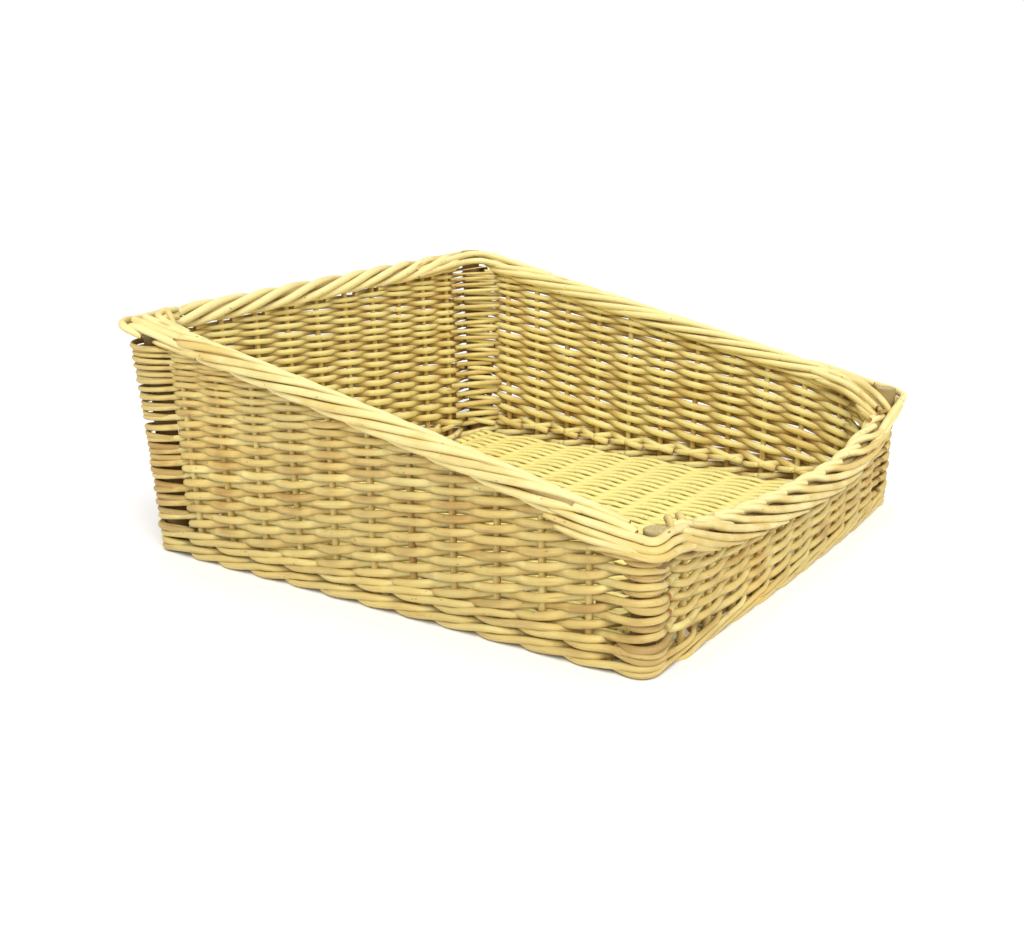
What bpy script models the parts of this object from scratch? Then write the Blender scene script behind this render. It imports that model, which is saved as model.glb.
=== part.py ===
"""Display basket: a willow shop basket with a high back and a low, dipped front, on four corner posts.

Metres, +Z up. Someone who faces the low front has +X on the right and the front toward -Y. The basket stands
on Z = 0, with its origin under the middle of its outline.

The walls lean out a little from the bottom to the rim. Every piece is modelled upright, and one lattice then
leans them all, so rods stay straight and keep their fit in the weave. An inset is a distance inward from the
upright outer face of a wall.
"""

import math

import bmesh
import bpy
from mathutils import Matrix, Vector

NAME = "display_basket"

# Outer sizes
BASE_WIDTH = 0.450
BASE_DEPTH = 0.460
BACK_HEIGHT = 0.195
FRONT_HEIGHT = 0.106  # at the front posts
FRONT_LOW_HEIGHT = 0.068  # at the lowest place of the front's dip
WALL_LEAN_SHARE = 0.030  # outward travel of a wall, as a share of the height

# Walls
WALL_THICKNESS = 0.014
WALE_ROW_HEIGHT = 0.0115
WALE_PROUD = 0.0015  # the wale stands this far out of the weave above it
PINCH_SHARE = 0.25  # each face draws in between two stakes, as a share of the wall's thickness
PINCH_RUN_SHARE = 0.30  # half the length of such a hollow, as a share of the way between the stakes

# Upright rods
POST_DIAMETER = 0.018
POST_WRAP = 0.006  # thickness of the weave round a post
POST_TOP_DROP = 0.001  # from the top of the border down to the sawn top of a post
STAKE_DIAMETER = 0.0055
STAKE_FOOT_HEIGHT = 0.003
STAKE_TUCK = 0.007  # how far a stake runs up into the border
SIDE_STAKES = 11
END_STAKES = 10

# Border
BORDER_DIAMETER = 0.020
BORDER_PROUD = 0.001  # the border stands this far out of the weave below it
BORDER_BEND = 0.008  # radius of its centre line at a corner
BORDER_LAP = 0.001  # how far a side border runs on past the weave round a post
BORDER_LEVEL_END = 0.004  # the front border's ends run level this far before it dips

# The front border's fall: shares of the dip and of the border's length
STEEP_FALL_SHARE = 0.62
STEEP_RUN_SHARE = 0.17
GENTLE_RUN_SHARE = 0.70
RIGHT_RISE_SHARE = 0.175

# Base
MAT_THICKNESS = 0.010
MAT_LIFT = 0.0015  # the mat's underside stays this far off the ground
MAT_GAP = 0.008  # open gap between the mat and a side wall
STICK_DIAMETER = 0.007
STICK_TO_STAKE = 0.0018  # from a stick's end to the stake that stands in front of it
EDGE_STICK_GAP = 0.002  # between the weave round a post and the middle of the last stick
EDGE_STICK_COVER = 0.0015  # mat beyond the last stick
VALLEY_SHARE = 0.30  # each face dips between two sticks, as a share of the mat's thickness
RIDGE_RUN_SHARE = 0.20  # half the level top over a stick, as a share of the way to the next stick

# Clearances
ROD_FIT = 0.0003  # all round a post, stake or stick in its channel
SEAT_GAP = 0.0003  # between pieces that rest on each other
CUT_OVERRUN = 0.020  # cutters reach this far past what they cut

# Facets
POST_SIDES = 24
STAKE_SIDES = 8
STICK_SIDES = 10
BORDER_BEVEL_RESOLUTION = 4
BEND_STEPS = 6
DIP_STEPS = 30

# Worked out from the sizes above
HALF_WIDTH = BASE_WIDTH / 2
HALF_DEPTH = BASE_DEPTH / 2
POST_RADIUS = POST_DIAMETER / 2
STAKE_RADIUS = STAKE_DIAMETER / 2
STICK_RADIUS = STICK_DIAMETER / 2
BORDER_RADIUS = BORDER_DIAMETER / 2
WRAP_RADIUS = POST_RADIUS + POST_WRAP
POST_X = HALF_WIDTH - WRAP_RADIUS
POST_Y = HALF_DEPTH - WRAP_RADIUS
STAKE_INSET = WALL_THICKNESS / 2
BORDER_INSET = BORDER_RADIUS - BORDER_PROUD
BACK_RIM = BACK_HEIGHT - BORDER_RADIUS
FRONT_RIM = FRONT_HEIGHT - BORDER_RADIUS
FRONT_DIP = FRONT_HEIGHT - FRONT_LOW_HEIGHT
RIM_SLOPE = math.atan2(BACK_RIM - FRONT_RIM, 2 * POST_Y)
UNDER_BORDER = BORDER_RADIUS / math.cos(RIM_SLOPE) + SEAT_GAP
UPPER_WALE_FOOT = WALE_ROW_HEIGHT + SEAT_GAP
WEAVE_FOOT = UPPER_WALE_FOOT + WALE_ROW_HEIGHT + SEAT_GAP
HOOK_INSET = 2 * WRAP_RADIUS + BORDER_LAP
END_BORDER_REACH = HALF_WIDTH - HOOK_INSET - SEAT_GAP
DIP_REACH = END_BORDER_REACH - BORDER_LEVEL_END
STICK_HEIGHT = MAT_LIFT + MAT_THICKNESS / 2
STICK_HALF_LENGTH = HALF_WIDTH - STAKE_INSET - STAKE_RADIUS - STICK_TO_STAKE
EDGE_STICK_Y = POST_Y - WRAP_RADIUS - EDGE_STICK_GAP
MAT_HALF_WIDTH = HALF_WIDTH - WALL_THICKNESS - MAT_GAP
MAT_HALF_DEPTH = EDGE_STICK_Y + STICK_RADIUS + EDGE_STICK_COVER
WELD_DISTANCE = ROD_FIT / 100

CORNERS = {
    "back_left": (-1, 1),
    "front_left": (-1, -1),
    "front_right": (1, -1),
    "back_right": (1, 1),
}
SIDES = {"left": -1, "right": 1}
ENDS = {"front": -1, "back": 1}

# Base colour (linear) and roughness of each kind of willow
WILLOW = {
    "post_willow": ((0.38, 0.25, 0.12), 0.62),
    "stake_willow": ((0.55, 0.38, 0.16), 0.55),
    "weave_willow": ((0.72, 0.56, 0.24), 0.50),
    "wale_willow": ((0.74, 0.59, 0.27), 0.50),
    "border_willow": ((0.78, 0.64, 0.30), 0.48),
    "base_willow": ((0.80, 0.64, 0.28), 0.52),
}


def clear_scene():
    """Remove every object of the scene."""
    for obj in list(bpy.data.objects):
        bpy.data.objects.remove(obj, do_unlink=True)


def add_collection(name):
    """Return a new collection linked to the scene."""
    collection = bpy.data.collections.new(name)
    bpy.context.scene.collection.children.link(collection)
    return collection


def add_material(name):
    """Return the plain material for one kind of willow."""
    colour, roughness = WILLOW[name]
    material = bpy.data.materials.new(name)
    material.use_nodes = True
    shader = material.node_tree.nodes["Principled BSDF"]
    shader.inputs["Base Color"].default_value = (*colour, 1)
    shader.inputs["Roughness"].default_value = roughness
    shader.inputs["Metallic"].default_value = 0
    return material


class Bench:
    """The collections, the parent and the lattice that every piece shares."""

    def __init__(self):
        self.parts = add_collection(NAME)
        self.cutters = add_collection("cutters")
        self.root = bpy.data.objects.new("basket_frame", None)
        self.root.location.y = centring_shift()
        self.parts.objects.link(self.root)
        self.lattice = self.lean_lattice()
        self.materials = {name: add_material(name) for name in WILLOW}

    def lean_lattice(self):
        """Return a two by two by two lattice whose top is spread by the walls' lean."""
        lattice = bpy.data.lattices.new("wall_lean")
        lattice.points_u = lattice.points_v = lattice.points_w = 2
        for axis in "uvw":
            setattr(lattice, f"interpolation_type_{axis}", "KEY_LINEAR")
        for point in lattice.points:
            if point.co.z > 0:
                point.co_deform.x = point.co.x * spread(BACK_HEIGHT, HALF_WIDTH)
                point.co_deform.y = point.co.y * spread(BACK_HEIGHT, HALF_DEPTH)
        frame = bpy.data.objects.new("wall_lean", lattice)
        reach = 2 * WALL_THICKNESS
        frame.scale = (BASE_WIDTH + reach, BASE_DEPTH + reach, BACK_HEIGHT)
        frame.location.z = BACK_HEIGHT / 2
        frame.parent = self.root
        self.parts.objects.link(frame)
        return frame

    def cutter(self, obj):
        """Keep a shape as a cutter: drawn as wire and left out of renders."""
        obj.parent = self.root
        obj.hide_render = True
        obj.display_type = "WIRE"
        self.cutters.objects.link(obj)
        return obj

    def piece(self, obj, name, willow, cutters=(), joined=None):
        """Make a shape one of the basket's pieces: cut, join, lean and colour it."""
        obj.name = name
        obj.data.name = name
        obj.parent = self.root
        self.parts.objects.link(obj)
        for cutter in cutters:
            add_boolean(obj, cutter, "DIFFERENCE")
        if joined:
            add_boolean(obj, joined, "UNION")
        lean = obj.modifiers.new("lean", "LATTICE")
        lean.object = self.lattice
        obj.data.materials.append(self.materials[willow])
        obj.data.shade_smooth()
        obj.data.set_sharp_from_angle(angle=math.radians(50))
        return obj


def spread(height, half_size):
    """Return how many times wider the basket is at a height than at the ground."""
    return 1 + WALL_LEAN_SHARE * height / half_size


def centring_shift():
    """Return the move along Y that centres the outline, since the high back leans out further."""
    reach = HALF_DEPTH + BORDER_PROUD
    back = reach * spread(BACK_RIM, HALF_DEPTH)
    front = max(reach * spread(FRONT_RIM, HALF_DEPTH), HALF_DEPTH + WALE_PROUD)
    return (front - back) / 2


def add_boolean(obj, other, operation):
    """Add an exact Boolean modifier."""
    modifier = obj.modifiers.new(f"{operation.lower()}_{other.name}", "BOOLEAN")
    modifier.operation = operation
    modifier.solver = "EXACT"
    modifier.object = other


def rim_height(y):
    """Return the height of a side border's centre line, which slopes between the posts."""
    share = (y + POST_Y) / (2 * POST_Y)
    return FRONT_RIM + (BACK_RIM - FRONT_RIM) * min(max(share, 0), 1)


def ease(share):
    """Return a share that leaves nought and reaches one without a bend."""
    share = min(max(share, 0), 1)
    return share * share * (3 - 2 * share)


def end_rim_height(wall, x):
    """Return the height of an end border's centre line: level at the back, and dipped at the front.

    From the left post it falls steeply and then gently, and it rises again close to the right post.
    """
    if wall == "back":
        return BACK_RIM
    place = (x + DIP_REACH) / (2 * DIP_REACH)
    steep = STEEP_FALL_SHARE * ease(place / STEEP_RUN_SHARE)
    gentle = (1 - STEEP_FALL_SHARE) * ease(place / GENTLE_RUN_SHARE)
    return FRONT_RIM - FRONT_DIP * (steep + gentle) * ease((1 - place) / RIGHT_RISE_SHARE)


def end_rim_line(wall, reach):
    """Return the points (x, height) of an end border's centre line, from -reach to reach."""
    places = [-reach, reach]
    if wall == "front":
        places[1:1] = [DIP_REACH * (2 * step / DIP_STEPS - 1) for step in range(DIP_STEPS + 1)]
    return [(x, end_rim_height(wall, x)) for x in places]


def line_below(points, distance):
    """Return a line moved square to itself by a distance, downward. It starts and ends level."""
    moved = []
    for before, (x, z), after in zip(points[:1] + points, points, points[1:] + points[-1:]):
        slope = math.atan2(after[1] - before[1], after[0] - before[0])
        if (x, z) in (points[0], points[-1]):
            slope = 0
        moved.append((x + distance * math.sin(slope), z - distance * math.cos(slope)))
    return moved


def rods(name, runs, radius, sides):
    """Return one mesh object with a straight round rod along each (start, end) run."""
    shape = bmesh.new()
    for start, end in runs:
        along = Vector(end) - Vector(start)
        middle = (Vector(start) + Vector(end)) / 2
        turn = along.to_track_quat("Z", "Y").to_matrix().to_4x4()
        bmesh.ops.create_cone(
            shape,
            cap_ends=True,
            segments=sides,
            radius1=radius,
            radius2=radius,
            depth=along.length,
            matrix=Matrix.Translation(middle) @ turn,
        )
    mesh = bpy.data.meshes.new(name)
    shape.to_mesh(mesh)
    shape.free()
    return bpy.data.objects.new(name, mesh)


def mesh_of_curve(curve_object):
    """Return a mesh object made from a curve, welded and facing out, and remove the curve."""
    bpy.context.scene.collection.objects.link(curve_object)
    bpy.context.view_layer.update()
    graph = bpy.context.evaluated_depsgraph_get()
    mesh = bpy.data.meshes.new_from_object(curve_object.evaluated_get(graph))
    shape = bmesh.new()
    shape.from_mesh(mesh)
    bmesh.ops.remove_doubles(shape, verts=shape.verts, dist=WELD_DISTANCE)
    bmesh.ops.recalc_face_normals(shape, faces=shape.faces)
    shape.to_mesh(mesh)
    shape.free()
    result = bpy.data.objects.new(curve_object.name, mesh)
    result.matrix_world = curve_object.matrix_world
    bpy.data.objects.remove(curve_object, do_unlink=True)
    return result


def across_width():
    """Return the turn that stands an outline of (y, height) points up and faces it along X."""
    return Matrix.Rotation(math.pi / 2, 4, "Z") @ Matrix.Rotation(math.pi / 2, 4, "X")


def outline_solid(name, loops, low, high, turn=None):
    """Return the solid over a flat outline, from low to high along its normal."""
    curve = bpy.data.curves.new(name, "CURVE")
    curve.dimensions = "2D"
    curve.fill_mode = "BOTH"
    curve.extrude = (high - low) / 2
    for loop in loops:
        spline = curve.splines.new("POLY")
        spline.points.add(len(loop) - 1)
        for point, (x, y) in zip(spline.points, loop):
            point.co = (x, y, 0, 1)
        spline.use_cyclic_u = True
    obj = bpy.data.objects.new(name, curve)
    turn = turn or Matrix.Identity(4)
    obj.matrix_world = turn @ Matrix.Translation((0, 0, (low + high) / 2))
    return mesh_of_curve(obj)


def slab(name, surface, middle, reach):
    """Return a slab across the width, with a flat face for each step of its (y, half thickness) points."""
    corners = [(-1, -1), (1, -1), (1, 1), (-1, 1)]
    places = [(x * reach, y, middle + z * half) for y, half in surface for x, z in corners]
    faces = [range(len(corners)), range(len(places) - len(corners), len(places))]
    for start in range(0, len(places) - len(corners), len(corners)):
        ring = [start + number for number in range(len(corners))]
        for first, second in zip(ring, ring[1:] + ring[:1]):
            faces.append((first, second, second + len(corners), first + len(corners)))
    mesh = bpy.data.meshes.new(name)
    mesh.from_pydata(places, [], [tuple(face) for face in faces])
    shape = bmesh.new()
    shape.from_mesh(mesh)
    bmesh.ops.recalc_face_normals(shape, faces=shape.faces)
    shape.to_mesh(mesh)
    shape.free()
    return bpy.data.objects.new(name, mesh)


def tube(name, points, radius):
    """Return a round tube along a path, with closed ends."""
    curve = bpy.data.curves.new(name, "CURVE")
    curve.dimensions = "3D"
    curve.bevel_depth = radius
    curve.bevel_resolution = BORDER_BEVEL_RESOLUTION
    curve.use_fill_caps = True
    spline = curve.splines.new("POLY")
    spline.points.add(len(points) - 1)
    for point, place in zip(spline.points, points):
        point.co = (*place, 1)
    return mesh_of_curve(bpy.data.objects.new(name, curve))


def arc(centre, radius, start, end, steps):
    """Return points round a centre, with the angles in degrees."""
    angles = [math.radians(start + (end - start) * step / steps) for step in range(steps + 1)]
    return [(centre[0] + radius * math.cos(a), centre[1] + radius * math.sin(a)) for a in angles]


def arc_round_post(sign_x, sign_y, radius, start, end):
    """Return an arc round a post, given for the back right post and mirrored to the others."""
    steps = max(1, round(abs(end - start) * POST_SIDES / 360))
    points = arc((POST_X, POST_Y), radius, start, end, steps)
    return [(sign_x * x, sign_y * y) for x, y in points]


def inner_face_angle(inset):
    """Return the angle from a post's centre to where a wall's inner face meets the weave round it."""
    outward = WRAP_RADIUS - inset
    return math.degrees(math.acos(outward / WRAP_RADIUS))


def evenly_between(start, end, count):
    """Return the places that divide the way from start to end evenly, without its ends."""
    return [start + (end - start) * number / (count + 1) for number in range(1, count + 1)]


def stake_places(wall):
    """Return the plan place of each of a wall's stakes, with the height of the rim over it."""
    if wall in SIDES:
        x = SIDES[wall] * (HALF_WIDTH - STAKE_INSET)
        return [(x, y, rim_height(y)) for y in evenly_between(POST_Y, -POST_Y, SIDE_STAKES)]
    y = ENDS[wall] * (HALF_DEPTH - STAKE_INSET)
    return [(x, y, end_rim_height(wall, x)) for x in evenly_between(-POST_X, POST_X, END_STAKES)]


def stake_runs(wall):
    """Return the (foot, top) ends of a wall's stakes."""
    tuck = STAKE_TUCK - BORDER_RADIUS
    return [((x, y, STAKE_FOOT_HEIGHT), (x, y, rim + tuck)) for x, y, rim in stake_places(wall)]


def stick_places():
    """Return the Y of each base stick: one in line with each side stake, and one at each end."""
    in_line = [y for _, y, _ in stake_places("right")]
    return [EDGE_STICK_Y, *in_line, -EDGE_STICK_Y]


def stick_runs(extra):
    """Return the ends of the base sticks, made longer by extra at each end."""
    reach = STICK_HALF_LENGTH + extra
    return [((-reach, y, STICK_HEIGHT), (reach, y, STICK_HEIGHT)) for y in stick_places()]


def post_runs(low, back_top, front_top):
    """Return the (foot, top) ends of the corner posts by name."""
    runs = {}
    for name, (sign_x, sign_y) in CORNERS.items():
        x, y = sign_x * POST_X, sign_y * POST_Y
        top = back_top if sign_y > 0 else front_top
        runs[name] = ((x, y, low), (x, y, top))
    return runs


def add_cutters(bench):
    """Make the shapes that cut channels, seats, hollows and the sloping top of the walls."""
    high = BACK_HEIGHT + CUT_OVERRUN
    full_height = post_runs(-CUT_OVERRUN, high, high).values()
    cutters = {
        "posts": rods("post_channels", full_height, POST_RADIUS + ROD_FIT, POST_SIDES),
        "wraps": rods("wrap_clearance", full_height, WRAP_RADIUS + SEAT_GAP, POST_SIDES),
        "sticks": rods(
            "stick_sockets", stick_runs(SEAT_GAP), STICK_RADIUS + ROD_FIT, STICK_SIDES
        ),
        "stick_bodies": rods("stick_bodies", stick_runs(0), STICK_RADIUS, STICK_SIDES),
        "rim": rim_cutter(high),
    }
    gap = Vector((0, 0, SEAT_GAP))
    for wall in (*SIDES, *ENDS):
        channels = [(Vector(foot) - gap, Vector(top) + gap) for foot, top in stake_runs(wall)]
        cutters[wall] = rods(f"stake_channels_{wall}", channels, STAKE_RADIUS + ROD_FIT, STAKE_SIDES)
        cutters[f"hollows_{wall}"] = hollow_cutter(wall, high)
    return {key: bench.cutter(obj) for key, obj in cutters.items()}


def rim_cutter(high):
    """Return the block over the side walls, level at both ends and sloping between the posts."""
    reach = HALF_DEPTH + CUT_OVERRUN
    front = FRONT_RIM - UNDER_BORDER
    back = BACK_RIM - UNDER_BORDER
    profile = [
        (-reach, front),
        (-POST_Y, front),
        (POST_Y, back),
        (reach, back),
        (reach, high),
        (-reach, high),
    ]
    width = HALF_WIDTH + CUT_OVERRUN
    return outline_solid("rim_cutter", [profile], -width, width, across_width())


def hollow_cutter(wall, high):
    """Return the upright hollows in both faces of a wall's weave, one between each two stakes."""
    half = HALF_WIDTH if wall in SIDES else HALF_DEPTH
    sign = {**SIDES, **ENDS}[wall]
    depth = PINCH_SHARE * WALL_THICKNESS
    along = sorted(y if wall in SIDES else x for x, y, _ in stake_places(wall))
    loops = []
    for start, end in zip(along, along[1:]):
        middle = (start + end) / 2
        run = PINCH_RUN_SHARE * (end - start)
        for face, out in ((half, 1), (half - WALL_THICKNESS, -1)):
            outline = [
                (face + out * CUT_OVERRUN, middle - run),
                (face + out * CUT_OVERRUN, middle + run),
                (face, middle + run),
                (face - out * depth, middle),
                (face, middle - run),
            ]
            loops.append([(sign * a, b) if wall in SIDES else (b, sign * a) for a, b in outline])
    return outline_solid(f"hollows_{wall}", loops, -CUT_OVERRUN, high)


def add_posts(bench):
    """Add the four corner posts, from the ground to their sawn tops inside the border."""
    tops = (BACK_HEIGHT - POST_TOP_DROP, FRONT_HEIGHT - POST_TOP_DROP)
    for name, run in post_runs(0, *tops).items():
        post = rods(f"post_{name}", [run], POST_RADIUS, POST_SIDES)
        bench.piece(post, f"post_{name}", "post_willow")


def add_stakes(bench):
    """Add the upright stakes of the four walls."""
    for wall in (*SIDES, *ENDS):
        for number, run in enumerate(stake_runs(wall), 1):
            name = f"stake_{wall}_{number:02d}"
            bench.piece(rods(name, [run], STAKE_RADIUS, STAKE_SIDES), name, "stake_willow")


def side_weave_outline(sign):
    """Return the plan of a side wall's weave, which goes round the posts at both its ends."""
    start = 360 - inner_face_angle(WALL_THICKNESS)
    back = arc_round_post(sign, 1, WRAP_RADIUS, start, 0)
    front = arc_round_post(sign, -1, WRAP_RADIUS, 0, start)
    return back + front


def add_side_weaves(bench, cutters):
    """Add the weave of the two long sides, cut to the slope of the rim."""
    for wall, sign in SIDES.items():
        name = f"weave_{wall}"
        solid = outline_solid(name, [side_weave_outline(sign)], WEAVE_FOOT, BACK_HEIGHT)
        cuts = [cutters["rim"], cutters["posts"], cutters[wall], cutters[f"hollows_{wall}"]]
        bench.piece(solid, name, "weave_willow", cuts)


def add_end_weaves(bench, cutters):
    """Add the weave of the back and the front, fitted between the wraps of the posts."""
    reach = POST_X - WRAP_RADIUS / 2
    stand_up = Matrix.Rotation(math.pi / 2, 4, "X")
    for wall, sign in ENDS.items():
        name = f"weave_{wall}"
        top = line_below(end_rim_line(wall, reach), BORDER_RADIUS + SEAT_GAP)
        profile = [(reach, WEAVE_FOOT), *reversed(top), (-reach, WEAVE_FOOT)]
        faces = sorted((-sign * HALF_DEPTH, -sign * (HALF_DEPTH - WALL_THICKNESS)))
        solid = outline_solid(name, [profile], *faces, stand_up)
        cuts = [cutters["wraps"], cutters[wall], cutters[f"hollows_{wall}"]]
        bench.piece(solid, name, "weave_willow", cuts)


def wale_loops():
    """Return the plan of a wale row: its outer loop, and its inner loop round the posts."""
    outer, inner = [], []
    turn = inner_face_angle(WALL_THICKNESS)
    for index, (sign_x, sign_y) in enumerate(CORNERS.values()):
        out = arc_round_post(sign_x, sign_y, WRAP_RADIUS + WALE_PROUD, 0, 90)
        within = arc_round_post(sign_x, sign_y, WRAP_RADIUS, 360 - turn, 90 + turn)
        if index % 2 == 0:
            out.reverse()
            within.reverse()
        outer += out
        inner += within
    return [outer, inner]


def add_wales(bench, cutters):
    """Add the two rows of wale round the foot of the walls."""
    every_stake = [cutters[wall] for wall in (*SIDES, *ENDS)]
    rows = {
        "wale_lower": (0, [cutters["posts"], cutters["sticks"], *every_stake]),
        "wale_upper": (UPPER_WALE_FOOT, [cutters["posts"], *every_stake]),
    }
    for name, (foot, cuts) in rows.items():
        solid = outline_solid(name, wale_loops(), foot, foot + WALE_ROW_HEIGHT)
        bench.piece(solid, name, "wale_willow", cuts)


def side_border_path(sign):
    """Return the centre line of a side border: down the side, and round the post at each end."""
    line_x = HALF_WIDTH - BORDER_INSET
    line_y = HALF_DEPTH - BORDER_INSET
    hook_x = HALF_WIDTH - HOOK_INSET
    centre = (line_x - BORDER_BEND, line_y - BORDER_BEND)
    bend = arc(centre, BORDER_BEND, 90, 0, BEND_STEPS)[:-1]
    back_half = [(hook_x, line_y), *bend, (line_x, min(centre[1], POST_Y))]
    plan = back_half + [(x, -y) for x, y in reversed(back_half)]
    return [(sign * x, y, rim_height(y)) for x, y in plan]


def add_borders(bench, cutters):
    """Add the border roll of each wall."""
    for wall, sign in SIDES.items():
        name = f"border_{wall}"
        roll = tube(name, side_border_path(sign), BORDER_RADIUS)
        bench.piece(roll, name, "border_willow", [cutters["posts"], cutters[wall]])
    for wall, sign in ENDS.items():
        name = f"border_{wall}"
        y = sign * (HALF_DEPTH - BORDER_INSET)
        line = [(x, y, z) for x, z in end_rim_line(wall, END_BORDER_REACH)]
        roll = tube(name, line, BORDER_RADIUS)
        bench.piece(roll, name, "border_willow", [cutters[wall]])


def mat_surface():
    """Return the (y, half thickness) points of the mat: level over each stick, with a valley between two."""
    half = MAT_THICKNESS / 2
    valley = half - VALLEY_SHARE * MAT_THICKNESS
    sticks = sorted(stick_places())
    points = [(-MAT_HALF_DEPTH, half)]
    for start, end in zip(sticks, sticks[1:]):
        level = RIDGE_RUN_SHARE * (end - start)
        points += [(start + level, half), ((start + end) / 2, valley), (end - level, half)]
    return [*points, (MAT_HALF_DEPTH, half)]


def add_base(bench, cutters):
    """Add the base: a woven mat with a ridge over each of its sticks, whose ends sit in the lower wale."""
    mat = slab("woven_base", mat_surface(), STICK_HEIGHT, MAT_HALF_WIDTH)
    bench.piece(mat, "woven_base", "base_willow", [cutters["wraps"]], cutters["stick_bodies"])


def main():
    """Build the basket."""
    clear_scene()
    bench = Bench()
    cutters = add_cutters(bench)
    add_posts(bench)
    add_stakes(bench)
    add_side_weaves(bench, cutters)
    add_end_weaves(bench, cutters)
    add_wales(bench, cutters)
    add_borders(bench, cutters)
    add_base(bench, cutters)


if __name__ == "__main__":
    main()
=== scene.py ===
"""Looks of the willow display basket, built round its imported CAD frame.

Lengths are metres, +Z up, in the part's own frame. The walls are first laid out upright and every
point is leaned outwards at the end, as the CAD walls are. Every rod is a surface of two parameters:
a ring of points (the angle round the rod) carried along a path (the station along it).
"""

import logging
import math
from collections import defaultdict
from dataclasses import dataclass, field
from enum import Enum
from functools import partial, reduce

import bpy
import numpy as np
from mathutils import Matrix, Vector
from numpy.typing import NDArray


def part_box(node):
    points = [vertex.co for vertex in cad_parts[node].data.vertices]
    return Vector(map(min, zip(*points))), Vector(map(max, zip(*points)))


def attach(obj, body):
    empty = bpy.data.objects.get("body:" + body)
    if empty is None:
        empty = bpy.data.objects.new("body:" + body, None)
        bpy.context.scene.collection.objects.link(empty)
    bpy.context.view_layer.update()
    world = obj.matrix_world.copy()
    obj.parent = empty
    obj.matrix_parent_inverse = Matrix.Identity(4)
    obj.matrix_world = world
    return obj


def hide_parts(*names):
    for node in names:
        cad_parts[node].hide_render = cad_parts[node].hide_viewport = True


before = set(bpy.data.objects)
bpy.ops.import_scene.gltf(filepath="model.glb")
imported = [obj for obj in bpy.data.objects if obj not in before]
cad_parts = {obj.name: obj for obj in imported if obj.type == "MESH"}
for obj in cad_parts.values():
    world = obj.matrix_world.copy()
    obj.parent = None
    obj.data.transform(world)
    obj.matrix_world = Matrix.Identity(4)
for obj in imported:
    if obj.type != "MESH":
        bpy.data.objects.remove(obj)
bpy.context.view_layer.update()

Array = NDArray[np.float64]
Pair = tuple[float, float]
Triple = tuple[float, float, float]
Random = np.random.Generator
Socket = bpy.types.NodeSocket
MM = 0.001
TINY = 1e-12
UP: Triple = (0.0, 0.0, 1.0)
LOG = logging.getLogger("basket")


# ---- small helpers


def ease(share: Array | float) -> Array:
    """Smooth step from 0 to 1: three times the square less twice the cube of the share."""
    share = np.clip(share, 0.0, 1.0)
    return share * share * (3 - 2 * share)


def unit(vectors: Array) -> Array:
    """Vectors of the same directions with a length of one, (n, k)."""
    return vectors / (np.linalg.norm(vectors, axis=1, keepdims=True) + TINY)


def spread(value: Array | float, *shape: int) -> Array:
    """Value, or one value for each station, as a whole array of this shape."""
    return np.broadcast_to(np.asarray(value, float), shape)


def run_length(path: Array) -> Array:
    """Length run along a path up to each station: the sum of the steps before it, (n,)."""
    return np.concatenate([[0.0], np.cumsum(np.linalg.norm(np.diff(path, axis=0), axis=1))])


def inward(plan: Array) -> Array:
    """Directions square to a path in plan, towards the middle of the basket, (n, 2)."""
    run = unit(np.gradient(plan, axis=0))
    return np.stack([-run[:, 1], run[:, 0]], -1)


def beside(square: Array, side: Array, rise: float) -> Array:
    """Directions from the wall's middle to a rod: outwards where it is outside, and a little up.

    Args:
        square: Inward directions, (n, 2).
        side: Side that the rod is on, -1 inside to 1 outside, (n,).
        rise: Share of up.

    Returns:
        Directions, (n, 3).
    """
    return np.concatenate([-square * side[:, None], np.full((len(side), 1), rise)], axis=1)


def stretches(keep: Array, least: int) -> list[slice]:
    """Unbroken runs of the stations that are kept.

    Args:
        keep: True at each station that is kept, (n,).
        least: Fewest stations in a run.

    Returns:
        A slice for each run.
    """
    edges = np.flatnonzero(np.diff(np.concatenate([[0], keep.astype(int), [0]])))
    return [slice(begin, end) for begin, end in edges.reshape(-1, 2).tolist() if end - begin >= least]


def drawn_tone(random: Random, mean: float, width: float) -> float:
    """Tone of a rod, drawn from a bell curve and kept between 0 and 1."""
    return float(np.clip(random.normal(mean, width), 0.0, 1.0))


def spline(knots: Array, slopes: Array, places: Array, wanted: Array) -> Array:
    """Cubic Hermite curve: each span blends its two ends' places and slopes.

    Args:
        knots: Values at the knots, (k, d).
        slopes: Change per unit of place at the knots, (k, d).
        places: Rising place of each knot, (k,).
        wanted: Places at which to read the curve, (n,).

    Returns:
        The curve's values, (n, d).
    """
    span = np.clip(np.searchsorted(places, wanted, side="right") - 1, 0, len(places) - 2)
    width = (places[span + 1] - places[span])[:, None]
    t = ((wanted - places[span]) / width[:, 0])[:, None]
    first = (1 + 2 * t) * (1 - t) ** 2 * knots[span] + t * (1 - t) ** 2 * width * slopes[span]
    second = t * t * (3 - 2 * t) * knots[span + 1] + t * t * (t - 1) * width * slopes[span + 1]
    return first + second


def through(points: Array, steps: int) -> Array:
    """Smooth curve through points, with each slope taken from the points on either side.

    Args:
        points: Points on the curve, (k, 3).
        steps: Stations for each span.

    Returns:
        Stations on the curve, ((k - 1) * steps + 1, 3).
    """
    last = len(points) - 1
    wanted = np.linspace(0.0, float(last), last * steps + 1)
    return spline(points, np.gradient(points, axis=0), np.arange(len(points), dtype=float), wanted)


def linked(name: str, data: bpy.types.ID) -> bpy.types.Object:
    """Puts a new object at the origin of the scene.

    Args:
        name: Name of the object.
        data: Its mesh, light or camera.

    Returns:
        The object.
    """
    holder = bpy.data.objects.new(name, data)
    bpy.context.scene.collection.objects.link(holder)
    return holder


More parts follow.
